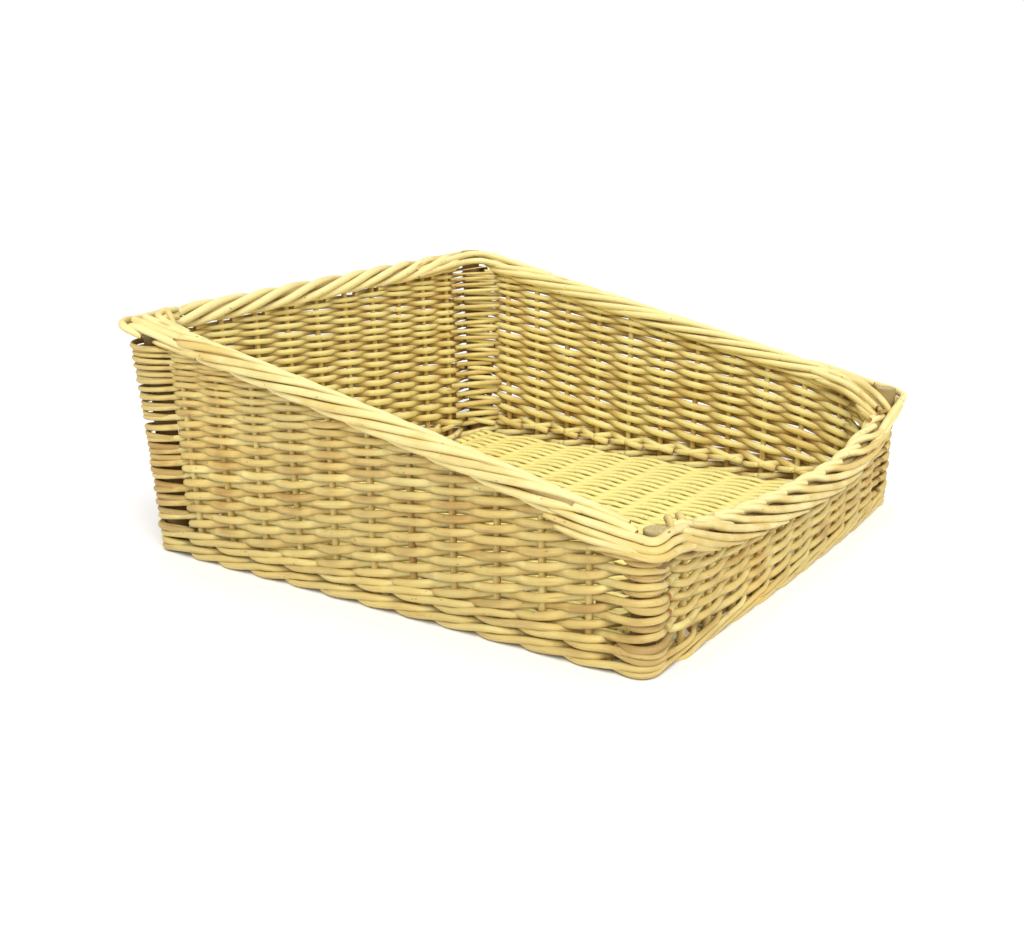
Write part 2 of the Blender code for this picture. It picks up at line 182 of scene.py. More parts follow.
def node(
    tree: bpy.types.NodeTree,
    kind: str,
    inputs: dict[str | int, Socket | float | tuple[float, ...]],
    output: str | int = 0,
    **settings: str | bool,
) -> Socket:
    """Makes a shader node, and fills or joins its inputs.

    Args:
        tree: The material's or the sky's nodes.
        kind: Name of the kind of node, without its first word ShaderNode.
        inputs: For an input's name or number, its value or the socket that feeds it.
        output: Name or number of the output that is wanted.
        settings: The node's own settings.

    Returns:
        The output.
    """
    box = tree.nodes.new(f"ShaderNode{kind}")
    for name, value in settings.items():
        setattr(box, name, value)
    for name, value in inputs.items():
        if isinstance(value, Socket):
            tree.links.new(value, box.inputs[name])
        else:
            box.inputs[name].default_value = value
    return box.outputs[output]


def ramp(
    tree: bpy.types.NodeTree, value: Socket, stops: list[tuple[float, Triple]], easing: str = "LINEAR"
) -> Socket:
    """Makes a colour ramp.

    Args:
        tree: The material's or the sky's nodes.
        value: Where the ramp is read.
        stops: Place and colour of each stop, starting with two that rise.
        easing: How the colour runs from stop to stop.

    Returns:
        The colour.
    """
    box = tree.nodes.new("ShaderNodeValToRGB")
    box.color_ramp.interpolation = easing
    elements = box.color_ramp.elements
    for number, (place, colour) in enumerate(stops):
        stop = elements[number] if number < 2 else elements.new(place)
        stop.position = place
        stop.color = (*colour, 1.0)
    tree.links.new(value, box.inputs["Fac"])
    return box.outputs["Color"]


# ---- the rods as meshes


@dataclass
class Bundle:
    """Rods gathered into one piece, each a closed tube with capped ends. Their arrays lie in the stock.

    Painted shade browns a rod's surface from where it turns half away from the open side, as if
    shadowed by its neighbours: groove_edge is the cosine at which that starts, and the brown is full at its
    negative.
    """

    name: str
    sides: int = 10
    groove_edge: float = 0.45
    count: int = 0
    stock: dict[str, list[Array]] = field(default_factory=lambda: defaultdict(list))

    def add(
        self,
        path: Array,
        radius: Array | float,
        tone: float,
        shade: Array | float = 0.0,
        outer: Array | float = 0.5,
        guide: Triple | Array = UP,
        height: Array | float = 1.0,
        sawn: Pair = (1.0, 1.0),
        start: float = 0.0,
        away: Array | Triple | None = None,
        groove: Array | float = 0.0,
    ) -> None:
        """Carries a ring of points along a path.

        A point is path + radius * (cos(angle) * side + height * sin(angle) * up), where side is the
        direction square to the path and the guide, and up is square to both.

        Args:
            path: Stations of the rod's middle, (n, 3).
            radius: Half thickness at each station.
            tone: Shade of the whole rod, 0 to 1.
            shade: Share of painted shade, a brown for shadowed creases, at each station.
            outer: 0 where the rod is on the inner face, 1 where it is on the outer face.
            guide: Direction that the ring's up leans to.
            height: Thickness along up as a share of that along side.
            sawn: For the first and last end, 1 if it is sawn wood, 0 if it only meets the next length.
            start: Length already run by the rod, so that its grain carries on.
            away: Direction away from the crevices beside the rod, at each station.
            groove: Share of painted shade on the flanks that face the crevices.
        """
        stations = len(path)
        sides = self.sides
        radius = spread(radius, stations)
        height = spread(height, stations)
        run = unit(np.gradient(path, axis=0))
        side = unit(np.cross(run, np.asarray(guide, float)))
        up = np.cross(side, run)
        angle = np.arange(sides) * math.tau / sides
        ring = np.cos(angle)[None, :, None] * side[:, None, :]
        ring = ring + (height[:, None] * np.sin(angle)[None, :])[..., None] * up[:, None, :]
        points = path[:, None, :] + radius[:, None, None] * ring
        grid = np.arange(stations * sides).reshape(stations, sides) + self.count
        near, far = grid[:-1], grid[1:]
        quads = np.stack([near, np.roll(near, -1, 1), np.roll(far, -1, 1), far], axis=-1).reshape(-1, 4)
        girth = float(radius.mean()) * math.tau
        around = np.arange(sides + 1) / sides * girth
        along = start + run_length(path)
        span = (stations - 1, sides)
        left, right = spread(around[None, :-1], *span), spread(around[None, 1:], *span)
        back, ahead = spread(along[:-1, None], *span), spread(along[1:, None], *span)
        corners = ((back, left), (back, right), (ahead, right), (ahead, left))
        uvs = np.stack([np.stack(corner, -1) for corner in corners], axis=2).reshape(-1, 2)
        disc = np.stack([np.cos(angle), np.sin(angle)], -1) * girth / math.tau
        shades = np.repeat(spread(shade, stations)[:, None], sides, axis=1)
        if away is not None:
            facing = (ring * spread(away, stations, 3)[:, None, :]).sum(axis=2) / np.linalg.norm(ring, axis=2)
            turned = ease((self.groove_edge - facing) / (2 * self.groove_edge))
            shades = shades + spread(groove, stations)[:, None] * turned
        made = {
            "points": points.reshape(-1, 3),
            "quads": quads,
            "caps": np.stack([grid[0, ::-1], grid[-1]]),
            "quad_uvs": uvs,
            "cap_uvs": np.concatenate([disc[::-1], disc]),
            "tone": np.full(stations * sides, tone),
            "shade": shades.ravel(),
            "outer": np.repeat(spread(outer, stations), sides),
            "sawn": np.array(sawn),
        }
        for name, part in made.items():
            self.stock[name].append(part)
        self.count += stations * sides

    def build(self) -> bpy.types.Object:
        """Puts the gathered rods into one mesh object.

        Returns:
            The new object, linked to the scene, at the origin.
        """
        stock = {name: np.concatenate(parts) for name, parts in self.stock.items()}
        points, quads, caps = stock["points"], stock["quads"], stock["caps"]
        corners = np.concatenate([quads.ravel(), caps.ravel()])
        cap_starts = len(quads) * 4 + np.arange(len(caps)) * self.sides
        starts = np.concatenate([np.arange(len(quads)) * 4, cap_starts])
        mesh = bpy.data.meshes.new(self.name)
        mesh.vertices.add(len(points))
        mesh.vertices.foreach_set("co", points.astype(np.float32).ravel())
        mesh.loops.add(len(corners))
        mesh.loops.foreach_set("vertex_index", corners.astype(np.int32))
        mesh.polygons.add(len(starts))
        mesh.polygons.foreach_set("loop_start", starts.astype(np.int32))
        mesh.polygons.foreach_set("use_smooth", np.arange(len(starts)) < len(quads))
        uv = mesh.uv_layers.new(name="rod")
        uvs = np.concatenate([stock["quad_uvs"], stock["cap_uvs"]])
        uv.data.foreach_set("uv", uvs.astype(np.float32).ravel())
        stock["sawn"] = np.concatenate([np.zeros(len(quads)), stock["sawn"]])
        for name, domain in (("tone", "POINT"), ("shade", "POINT"), ("outer", "POINT"), ("sawn", "FACE")):
            layer = mesh.attributes.new(name, "FLOAT", domain)
            layer.data.foreach_set("value", stock[name].astype(np.float32))
        mesh.update(calc_edges=True)
        return linked(self.name, mesh)


def settle(piece: bpy.types.Object, slot: str, finish: bpy.types.Material, *nodes: str) -> None:
    """Gives a piece its finish and body, and hides the CAD nodes that it stands for.

    Args:
        piece: The new piece.
        slot: Name of the record's material slot. Not used.
        finish: The material.
        nodes: CAD nodes that the piece replaces.
    """
    piece.data.materials.append(finish)
    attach(piece, "root")
    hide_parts(*nodes)
    LOG.info("%s: %d faces, stands for %s", piece.name, len(piece.data.polygons), ", ".join(nodes))


# ---- the walls' layout


@dataclass(frozen=True)
class Walls:
    """The four walls as one path round the basket, in the order that a weaver travels.

    A place on it is counted in uprights: 0 is the back left post, 12 the front left post, 23 the front
    right post, 35 the back right post, and whole numbers between are stakes. The front's foot bows out:
    each of the three bow pairs says where the bow starts and over what length it grows.
    """

    side_x: float = 0.218
    end_y: float = 0.223
    post_x: float = 0.210
    post_y: float = 0.215
    side_gaps: int = 12
    end_gaps: int = 11
    post_radius: float = 0.009
    stake_radius: float = 0.00275
    back_rim: float = 0.185
    front_rim: float = 0.096
    front_x_mm: tuple[float, ...] = (
        *(-213, -178, -144, -109, -73, -33, 0, 40, 80, 110, 143, 169, 189, 203, 213),
    )
    front_z_mm: tuple[float, ...] = (95, 84, 76, 70, 66, 62, 60, 58, 56.5, 57.5, 61, 66, 73, 80, 92)
    foot_bow: float = 0.0038
    foot_bow_height: float = 0.095
    bow_left: Pair = (-0.19, 0.18)
    bow_right: Pair = (0.215, 0.14)
    bow_back: Pair = (-0.19, 0.02)
    lean_share: float = 0.030
    lean_x: float = 0.225
    lean_y: float = 0.230
    shift_y: float = 0.00134
    corner_span: float = 0.2
    corner_chord: float = 0.007

    @property
    def uprights(self) -> int:
        """Number of uprights round the basket."""
        return 2 * (self.side_gaps + self.end_gaps)

    @property
    def posts(self) -> Array:
        """Places of the four posts."""
        return np.cumsum([0, self.side_gaps, self.end_gaps, self.side_gaps])

    def lean(self, points: Array) -> Array:
        """Leans upright points outwards: the plan grows in proportion to the height, and the foot of the
        front bows out.

        Args:
            points: Points with upright walls, (..., 3).

        Returns:
            The points in the part's frame.
        """
        x, y, z = points[..., 0], points[..., 1], points[..., 2]
        wide = 1 + self.lean_share * z / self.lean_x
        deep = 1 + self.lean_share * z / self.lean_y
        left, left_fade = self.bow_left
        right, right_fade = self.bow_right
        back, back_fade = self.bow_back
        along = ease((x - left) / left_fade) * ease((right - x) / right_fade)
        bow = self.foot_bow * along * ease((back - y) / back_fade) * ease(1 - z / self.foot_bow_height)
        return np.stack([x * wide, y * deep - self.shift_y - bow, z], -1)

    def wall_of(self, place: Array) -> Array:
        """Number of the wall at each place: 0 left, 1 front, 2 right, 3 back."""
        return np.searchsorted(self.posts[1:], np.mod(place, self.uprights), side="right")

    def from_post(self, place: Array) -> Array:
        """Distance to the nearest post at each place, in uprights."""
        apart = np.mod(place[:, None] - self.posts + self.uprights // 2, self.uprights)
        return np.min(np.abs(apart - self.uprights // 2), axis=1)

    def corner(self, number: int) -> tuple[Array, Array, Array]:
        """Outward directions of the walls that come to and leave a post, and its middle in plan."""
        come, leave = self.directions()[0][[number - 1, number]]
        return come, leave, (come + leave) * np.array([self.post_x, self.post_y])

    def on_front(self, place: Array, margin: float, fade: float) -> Array:
        """1 on the front and 0 elsewhere, changing over fade uprights from margin past each of its posts."""
        left, right = self.posts[1] + margin, self.posts[2] - margin
        return ease((place - left) / fade) * ease((right - place) / fade)

    def directions(self) -> tuple[Array, Array]:
        """Outward and travelling directions of the four walls, each (4, 2)."""
        outward = np.array([[-1.0, 0.0], [0.0, -1.0], [1.0, 0.0], [0.0, 1.0]])
        return outward, np.roll(outward, -1, axis=0)

    def centre(self, place: Array) -> Array:
        """Middle of the wall at each place, in plan, on straight lines that stop at the posts.

        Args:
            place: Places round the basket, (n,).

        Returns:
            Points in plan, (n, 2).
        """
        place = np.mod(place, self.uprights)
        wall = self.wall_of(place)
        gaps, half, out = (
            np.array(pair * 2)[wall]
            for pair in (
                (self.side_gaps, self.end_gaps),
                (self.post_y, self.post_x),
                (self.side_x, self.end_y),
            )
        )
        outward, travel = self.directions()
        along = ((place - self.posts[wall]) / gaps * 2 - 1) * half
        return outward[wall] * out[:, None] + travel[wall] * along[:, None]

    def rim(self, place: Array) -> Array:
        """Height of the border's middle at each place.

        The back is level, the sides slope straight, and the front dips through a table of heights.

        Args:
            place: Places round the basket, (n,).

        Returns:
            Heights, (n,).
        """
        place = np.mod(np.asarray(place, float), self.uprights)
        wall = self.wall_of(place)
        plan = self.centre(place)
        rise = self.back_rim - self.front_rim
        slope = self.front_rim + rise * (plan[:, 1] + self.post_y) / (2 * self.post_y)
        knots = np.array(self.front_x_mm) * MM
        heights = np.array(self.front_z_mm) * MM
        slopes = np.gradient(heights, knots)
        spots = np.clip(plan[:, 0], knots[0], knots[-1])
        front = spline(heights[:, None], slopes[:, None], knots, spots)[:, 0]
        return np.select([wall == 1, wall == 3], [front, np.full(len(place), self.back_rim)], slope)

    def route(
        self, first: int, last: int, outer: Array, reach: Array, wrap: Array, wanted: Array
    ) -> tuple[Array, Array]:
        """Plan of a rod that passes each upright on its outer or inner side.

        At a stake the rod's middle is at the wall's middle plus or minus its reach, running along the
        wall. Outside a post it follows a quarter circle, and inside it cuts the corner. Between them it
        is a Hermite curve.

        Args:
            first: First upright.
            last: Last upright.
            outer: 1 where the rod passes outside the upright, -1 where inside, (m,).
            reach: Distance from a stake's middle to the rod's, (m,).
            wrap: Distance from a post's middle to the rod's, (m,).
            wanted: Places at which to read the route, (n,).

        Returns:
            Points in plan (n, 2), and the side that the rod is on, -1 to 1, (n,).
        """
        number = np.arange(first, last + 1)
        wall = self.wall_of(number)
        before = np.mod(wall - 1, 4)
        outward, travel = self.directions()
        is_post = np.isin(np.mod(number, self.uprights), self.posts)
        gap = np.where(wall % 2 == 0, 2 * self.post_y / self.side_gaps, 2 * self.post_x / self.end_gaps)
        centre = self.centre(number)
        step = np.array([-1.0, 0.0, 1.0]) * self.corner_span
        places = number[:, None] + step[None, :]
        stake = centre[:, None, :] + (outer * reach)[:, None, None] * outward[wall][:, None, :]
        stake = np.repeat(stake, 3, axis=1)
        stake_slope = np.broadcast_to((travel[wall] * gap[:, None])[:, None, :], stake.shape)
        corner = np.stack([np.sign(centre[:, 0]) * self.post_x, np.sign(centre[:, 1]) * self.post_y], -1)
        turn = np.array([0.0, 0.25, 0.5]) * math.pi
        come, leave = outward[before], outward[wall]
        cosine, sine = np.cos(turn)[None, :, None], np.sin(turn)[None, :, None]
        arm = cosine * come[:, None, :] + sine * leave[:, None, :]
        spin = -sine * come[:, None, :] + cosine * leave[:, None, :]
        round_post = corner[:, None, :] + wrap[:, None, None] * arm
        round_slope = wrap[:, None, None] * spin * (math.pi / 2 / (2 * self.corner_span))
        across = (leave - come) / math.sqrt(2)
        inner = corner - wrap[:, None] * (come + leave) / math.sqrt(2)
        chord, span = self.corner_chord, self.corner_span
        cut = inner[:, None, :] + (step / span * chord)[None, :, None] * across[:, None, :]
        cut_slope = np.broadcast_to((across * chord / span)[:, None, :], cut.shape)
        outside = (outer > 0)[:, None, None]
        at_post = is_post[:, None, None]
        knots = np.where(at_post, np.where(outside, round_post, cut), stake)
        slopes = np.where(at_post, np.where(outside, round_slope, cut_slope), stake_slope)
        keep = np.broadcast_to(is_post[:, None], places.shape) | (step == 0)[None, :]
        side = np.broadcast_to(outer[:, None, None], (len(number), 3, 1))
        order = places[keep]
        plan = spline(knots[keep], slopes[keep], order, wanted)
        sides = spline(side[keep], np.zeros((keep.sum(), 1)), order, wanted)[:, 0]
        return plan, sides


WALLS = Walls()


def solid_path(plan: Array, height: Array) -> Array:
    """Joins plan points and heights, and leans them."""
    return WALLS.lean(np.concatenate([plan, height[:, None]], axis=1))


# ---- finishes


@dataclass(frozen=True)
class Willow:
    """Finish of peeled willow: straw-coloured skin with long grain, blotches and knots, with painted shade
    browning the crevices.

    The light weights say how much a rod's tone, its bands, the patches over the basket and the grain add
    to its lightness, and the relief weights what grain, bands, fine noise, specks and knots add to the
    bump. Scales are in cells per metre.
    """

    name: str
    pale: Triple = (0.88, 0.755, 0.30)
    mid: Triple = (0.70, 0.505, 0.150)
    deep: Triple = (0.41, 0.215, 0.042)
    # Brown of the painted shade in crevices, also used for the small dark specks.
    shade_and_speck_brown: Triple = (0.15, 0.058, 0.011)
    green: Triple = (0.50, 0.43, 0.18)
    end_grain: Triple = (0.46, 0.22, 0.08)
    green_share: float = 0.55
    lift: float = 0.0
    ramp_stops: Triple = (0.45, 0.74, 1.06)
    light_weights: tuple[float, ...] = (0.50, 0.55, 0.30, 0.28)
    # Painted light: inner faces are made lighter and outer faces darker, standing in for light bounced inside
    # the basket.
    painted_inside_light: float = 0.31
    inside_from: float = 0.56
    grain_scale: Triple = (22.0, 900.0, 1.0)
    band_scale: Triple = (38.0, 60.0, 1.0)
    speck_scale: Triple = (170.0, 300.0, 1.0)
    knot_scale: Triple = (17.0, 95.0, 1.0)
    patch_scale: float = 16.0
    green_scale: float = 9.0
    speck_picks: float = 60.0
    fine_scale: float = 900.0
    rod_offset: Pair = (7.3, 3.1)
    speck_share: float = 0.55
    knot_share: float = 0.6
    # Share of the painted shade's brown where the shade is full.
    painted_shade_share: float = 0.85
    relief_weights: tuple[float, ...] = (0.5, 0.9, 0.12, -0.6, 0.8)
    relief: float = 0.00035
    relief_strength: float = 0.55
    roughness: float = 0.42
    rough_swing: float = 0.3
    rough_in_crevice: float = 0.5
    ior: float = 1.45

    def build(self) -> bpy.types.Material:
        """Makes the node material.

        The colour runs from pale to deep by the rod's own tone and by two noises, one stretched along the
        rod and one in patches over the basket. Small dark dots and rarer knots come from Voronoi cells.

        Returns:
            The material.
        """
        material = bpy.data.materials.new(self.name)
        material.use_nodes = True
        tree = material.node_tree
        tree.nodes.clear()
        made = partial(node, tree)

        def calc(kind: str, first: Socket | float, second: Socket | float, clamp: bool = False) -> Socket:
            """Sum, product or other function of two inputs."""
            return made("Math", {0: first, 1: second}, operation=kind, use_clamp=clamp)

        def weighted(sources: tuple[Socket, ...], weights: tuple[float, ...]) -> Socket:
            """Sum of the sources, each times its weight."""
            return reduce(partial(calc, "ADD"), (calc("MULTIPLY", *pair) for pair in zip(sources, weights)))

        def ranged(value: Socket, low: float, high: float, to_low: float, to_high: float) -> Socket:
            """Value moved from one range to another, kept inside it."""
            limits = {"From Min": low, "From Max": high, "To Min": to_low, "To Max": to_high}
            return made("MapRange", {"Value": value, **limits}, "Result")

        def blended(factor: Socket, first: Socket | Triple, second: Socket | Triple) -> Socket:
            """Mix of two colours."""
            first, second = (mix if isinstance(mix, Socket) else (*mix, 1.0) for mix in (first, second))
            return made("Mix", {0: factor, 6: first, 7: second}, 2, data_type="RGBA")

        def noise(coordinates: Socket, scale: float, detail: float, rough: float) -> Socket:
            """Noise of about 0 to 1."""
            looks = {"Scale": scale, "Detail": detail, "Roughness": rough}
            return made("TexNoise", {"Vector": coordinates, **looks}, "Fac")

        def stretched(scale: Triple) -> Socket:
            """Coordinates on the rod with their own scale along it and round it."""
            return made("Mapping", {"Vector": along, "Scale": scale})

        def cells(scale: Triple, low: float, high: float) -> Socket:
            """Dots in the middles of Voronoi cells: 1 closer than low to a middle, 0 past high."""
            apart = made("TexVoronoi", {"Vector": stretched(scale), "Scale": 1.0}, "Distance")
            return ranged(apart, low, high, 1.0, 0.0)

        place = made("TexCoord", {}, "Object")
        tone, shade, outer, sawn = (
            made("Attribute", {}, "Fac", attribute_name=name) for name in ("tone", "shade", "outer", "sawn")
        )
        own = {axis: calc("MULTIPLY", tone, share) for axis, share in zip("XY", self.rod_offset)}
        along = made("VectorMath", {0: made("UVMap", {}, uv_map="rod"), 1: made("CombineXYZ", own)})

        grain = noise(stretched(self.grain_scale), 1.0, 4.0, 0.6)
        bands = noise(stretched(self.band_scale), 1.0, 2.0, 0.5)
        patches = noise(place, self.patch_scale, 3.0, 0.55)
        fine = noise(place, self.fine_scale, 2.0, 0.6)

        light = weighted((tone, bands, patches, grain), self.light_weights)
        # Painted light: lighter on the inner face, darker on the outer face, for light bounced inside the
        # basket.
        inside = calc("MULTIPLY", calc("SUBTRACT", self.inside_from, outer), self.painted_inside_light)
        low, middle, high = (stop - self.lift for stop in self.ramp_stops)
        stops = [(low, self.deep), (high, self.pale), (middle, self.mid)]
        colour = ramp(tree, calc("ADD", light, inside), stops, "EASE")

        tint = ranged(noise(place, self.green_scale, 2.0, 0.5), 0.30, 0.66, 0.15, 1.0)
        tint = calc("MULTIPLY", calc("MULTIPLY", tint, outer), self.green_share)
        colour = blended(tint, colour, self.green)

        picked = ranged(noise(along, self.speck_picks, 1.0, 0.5), 0.56, 0.60, 0.0, 1.0)
        speck = calc("MULTIPLY", cells(self.speck_scale, 0.10, 0.22), picked)
        colour = blended(calc("MULTIPLY", speck, self.speck_share), colour, self.shade_and_speck_brown)
        knot = cells(self.knot_scale, 0.05, 0.16)
        colour = blended(calc("MULTIPLY", knot, self.knot_share), colour, self.deep)

        # Painted shade: the shade attribute browns crossings, tucked ends and flanks that face neighbours.
        colour = blended(calc("MULTIPLY", shade, self.painted_shade_share, True), colour, self.shade_and_speck_brown)
        wood = blended(ranged(fine, 0.35, 0.65, 0.0, 1.0), self.end_grain, self.deep)
        colour = blended(sawn, colour, wood)

        height = weighted((grain, bands, fine, speck, knot), self.relief_weights)
        bump = made("Bump", {"Strength": self.relief_strength, "Distance": self.relief, "Height": height})
        coarse = calc("ADD", grain, calc("MULTIPLY", shade, self.rough_in_crevice))
        rough = ranged(coarse, 0.3, 1.0, self.roughness, self.roughness + self.rough_swing)
        skin = {"Base Color": colour, "Roughness": rough, "IOR": self.ior, "Normal": bump}
        surface = tree.nodes.new("ShaderNodeOutputMaterial").inputs["Surface"]
        tree.links.new(made("BsdfPrincipled", skin), surface)
        return material


# ---- the woven walls


class Wall(Enum):
    """The four walls in the order that a weaver travels: node, and the places where its weave ends."""

    LEFT = ("weave_left", -0.4, 12.4)
    FRONT = ("weave_front", 12.4, 22.6)
    RIGHT = ("weave_right", 22.6, 35.4)
    BACK = ("weave_back", 35.4, 45.6)


@dataclass
class Randing:
    """Walls woven one rod to each upright: every rod starts at its butt on the wale, passes one upright
    outside and the next inside, and climbs one level at each upright, up to the border.

    Each row in rows_mm gives a place and the heights there of the levels in knots. A pair of numbers is a
    range or, for a tone, its mean and spread. The corner tables go post by post in the walls' order.
    """

    levels: int = 36
    steps: int = 10
    thick_levels: tuple[float, ...] = (1, 6, 12, 18, 24, 30, 37)
    thick_mm: tuple[float, ...] = (3.3, 3.2, 3.0, 2.75, 2.5, 2.25, 2.0)
    flat_share: float = 0.85
    crossing_share: float = 0.66
    front_thin: float = 0.12
    post_share: float = 0.82
    reach_sink: float = 0.0023
    wrap_gap: float = 0.0028
    wrap_extra_mm: tuple[float, ...] = (6.0, 0.4, 0.0, 0.0)
    butt_drop: float = 8.0
    butt_in: float = 0.0028
    knots: tuple[float, ...] = (1, 5, 9, 13, 17, 21, 25, 29, 33, 37)
    rows_mm: tuple[tuple[float, tuple[float, ...]], ...] = (
        (-1, (28, 50, 70, 90, 108, 124, 139, 155.5, 168.5, 178)),
        (0, (29.5, 52.5, 74.5, 95, 112.5, 128, 142.5, 154.5, 165, 174)),
        (1, (31.3, 53.6, 76.3, 96.7, 113.6, 129.7, 143.5, 154, 163, 171)),
        (3, (27, 50.2, 71.9, 93, 111.3, 126.7, 140.7, 152.1, 161.6, 170)),
        (10, (27.3, 51.5, 72.7, 92.5, 111, 127, 141, 153, 163, 171)),
        (11, (29.3, 53.7, 75, 94.6, 112, 128, 142, 154, 164, 172)),
        (12, (29, 54.5, 75.5, 95, 112, 128, 142, 155, 165, 173)),
        (13, (24, 44, 63, 80, 97, 113, 129, 145, 160, 174)),
        (14, (20, 40, 57, 73, 89, 105, 121, 137, 153, 168)),
        (15.5, (17, 36, 53, 69, 85, 101, 117, 133, 149, 165)),
        (17, (15.5, 33.5, 50.8, 67.5, 84, 100, 116, 132, 148, 164)),
        (22, (16, 33, 50, 66.5, 83, 99, 115, 131, 147, 163)),
        (23, (20, 38.5, 57, 75, 93, 110, 127, 143, 158, 172)),
        (24, (24, 44.5, 64, 83.5, 101, 118, 135, 150, 164, 176)),
        (25, (27, 48.5, 68.5, 88, 106, 122, 138, 153, 166, 177)),
        (26.5, (28, 50, 70.5, 89.8, 108, 125, 141, 156, 168, 178)),
        (30, (25.4, 47, 67.4, 86.5, 104.8, 123.6, 142, 157, 168.6, 178)),
        (34, (26, 49.3, 69.7, 88.8, 106.8, 122.4, 140.6, 157, 169.5, 178.5)),
        (36, (28, 50, 70, 90, 108, 124, 139, 155.5, 168.5, 178)),
        (45, (28, 50, 70, 90, 108, 124, 139, 155.5, 168.5, 178)),
    )
    legs_mm: tuple[Pair, ...] = ((16, 24), (12, 17), (16, 14), (12, 34))
    left_out: tuple[tuple[int, int], ...] = ((1, 12), (0, 16), (0, 24))
    chord_mm: tuple[Pair, ...] = ((34, 34), (30, 30), (30, 26), (24, 34))
    chord_end: float = 0.0035
    tone: Pair = (0.47, 0.11)
    post_tone: Pair = (0.1, 0.5)
    fat: Pair = (0.94, 1.06)
    jitter_out: float = 0.0003
    jitter_wrap: float = 0.0005
    jitter_up: float = 0.0005
    wrap_limits: Pair = (-0.0006, 0.0014)
    before: float = 0.42
    before_spread: float = 0.08
    front_fade: Pair = (0.2, 1.0)
    post_fade: float = 1.25
    swell_power: float = 0.8
    butt_fade: Pair = (0.3, 0.6)
    under_rim: Pair = (0.001, 0.004)
    crossing_width: float = 0.40
    thickest_wrap: float = 0.0029
    chord_bow: float = 0.0015
    leg_spread_mm: float = 2.0
    chord_spread_mm: float = 2.5
    least_crossing: float = 0.45
    # Shares of painted shade: at crossings, on flanks facing neighbours (more outside), on horseshoes and on
    # chords.
    crossing_shade: float = 0.16
    groove: float = 0.14
    groove_outside: float = 0.62
    horseshoe_groove: float = 0.36
    chord_groove: float = 0.24
    away_rise: float = 0.22
    top_gap: float = 0.005
    tuck: float = 0.0045
    tilt: float = 0.0010
    shortest: int = 5
    seed: int = 11

    def height(self, level: Array, place: Array) -> Array:
        """Height of a weaver at a level, read from the table of rows.

        Between the table's places and levels the height changes evenly: it is the weighted mean of the
        four nearest entries. Below the first level the butt drops.

        Args:
            level: Level of the weaver, rising by one at each upright, (n,).
            place: Places round the basket, (n,).

        Returns:
            Heights of the weaver's middle, (n,).
        """
        stops = [stop for stop, _ in self.rows_mm]
        table = np.array([heights for _, heights in self.rows_mm], dtype=float)
        spot = np.interp(np.mod(place + 1.0, WALLS.uprights) - 1.0, stops, np.arange(len(stops)))
        step = np.interp(level, self.knots, np.arange(len(self.knots)))
        row = np.minimum(spot.astype(int), len(stops) - 2)
        column = np.minimum(step.astype(int), len(self.knots) - 2)
        right, up = spot - row, step - column
        low = table[row, column] * (1 - up) + table[row, column + 1] * up
        high = table[row + 1, column] * (1 - up) + table[row + 1, column + 1] * up
        butt = np.clip(1.0 - level, 0.0, 1.6) * self.butt_drop
        return (low * (1 - right) + high * right - butt) * MM

    def widening(self, level: Array) -> Array:
        """Share of a post's extra wrap at each level: a fifth at the foot, and all of it at the top."""
        return 0.2 + 0.8 * np.clip(level / self.levels, 0.0, 1.0) ** 1.5

    def pitch(self, level: Array, place: Array) -> Array:
        """Height from one level to the next at each place."""
        level = np.maximum(level, 2.0)
        return (self.height(level + 1.0, place) - self.height(level - 1.0, place)) / 2

    def build(self) -> dict[Wall, Bundle]:
        """Weaves all the rods and shares them out between the four walls.

        Returns:
            A bundle for each wall.
        """
        random = np.random.default_rng(self.seed)
        bundles = {wall: Bundle(f"{wall.value[0]}_rods") for wall in Wall}
        for rod in range(WALLS.uprights):
            self._weave(rod, bundles, random)
        self._wrap_posts(bundles, random)
        return bundles

    def _weave(self, rod: int, bundles: dict[Wall, Bundle], random: Random) -> None:
        """Weaves one rod from its butt to the border.

        Its thickness follows the pitch, so neighbours nearly touch where they cross between two uprights.

        Args:
            rod: Upright at which the rod starts.
            bundles: Where its lengths go.
            random: Source of its small irregularities.
        """
        number = np.arange(rod - 1, rod + self.levels + 2)
        outer = np.where((number - rod) % 2 == 1, 1.0, -1.0)
        tone = drawn_tone(random, *self.tone)
        fat = float(random.uniform(*self.fat))
        outward, round_post, upward = random.normal(0.0, 1.0, (3, len(number)))
        count = int(round((self.levels + 0.2) * self.steps)) + 1
        start = rod - self.before + self.before_spread * random.uniform(-1, 1)
        place = start + np.arange(count) / self.steps
        level = place - rod
        radius = fat * np.interp(level, self.thick_levels, self.thick_mm) * MM
        front = WALLS.on_front(np.mod(place, WALLS.uprights), *self.front_fade)
        radius = radius * (1 - self.front_thin * front)
        knot_radius = np.interp(number, place, radius) * self.flat_share
        reach = WALLS.stake_radius + knot_radius - self.reach_sink + self.jitter_out * outward
        wrap = WALLS.post_radius + self.wrap_gap + np.clip(self.jitter_wrap * round_post, *self.wrap_limits)
        for post, widest in zip(WALLS.posts, self.wrap_extra_mm):
            here = (np.mod(number, WALLS.uprights) == post) & (outer > 0)
            wrap = wrap + np.where(here, widest * MM * self.widening(number - rod), 0.0)
        plan, side = WALLS.route(rod - 1, rod + self.levels + 1, outer, reach, wrap, place)
        height = self.height(level, place) + self.jitter_up * np.interp(place, number, upward)
        by_post = ease(self.post_fade - WALLS.from_post(place))
        crossing = self.crossing_share * self.pitch(level, place) / radius
        crossing = np.clip(crossing, self.least_crossing, 1.0)
        swell = crossing + (1 - crossing) * np.abs(side) ** self.swell_power
        swell = swell * (1 - by_post) + self.post_share * by_post
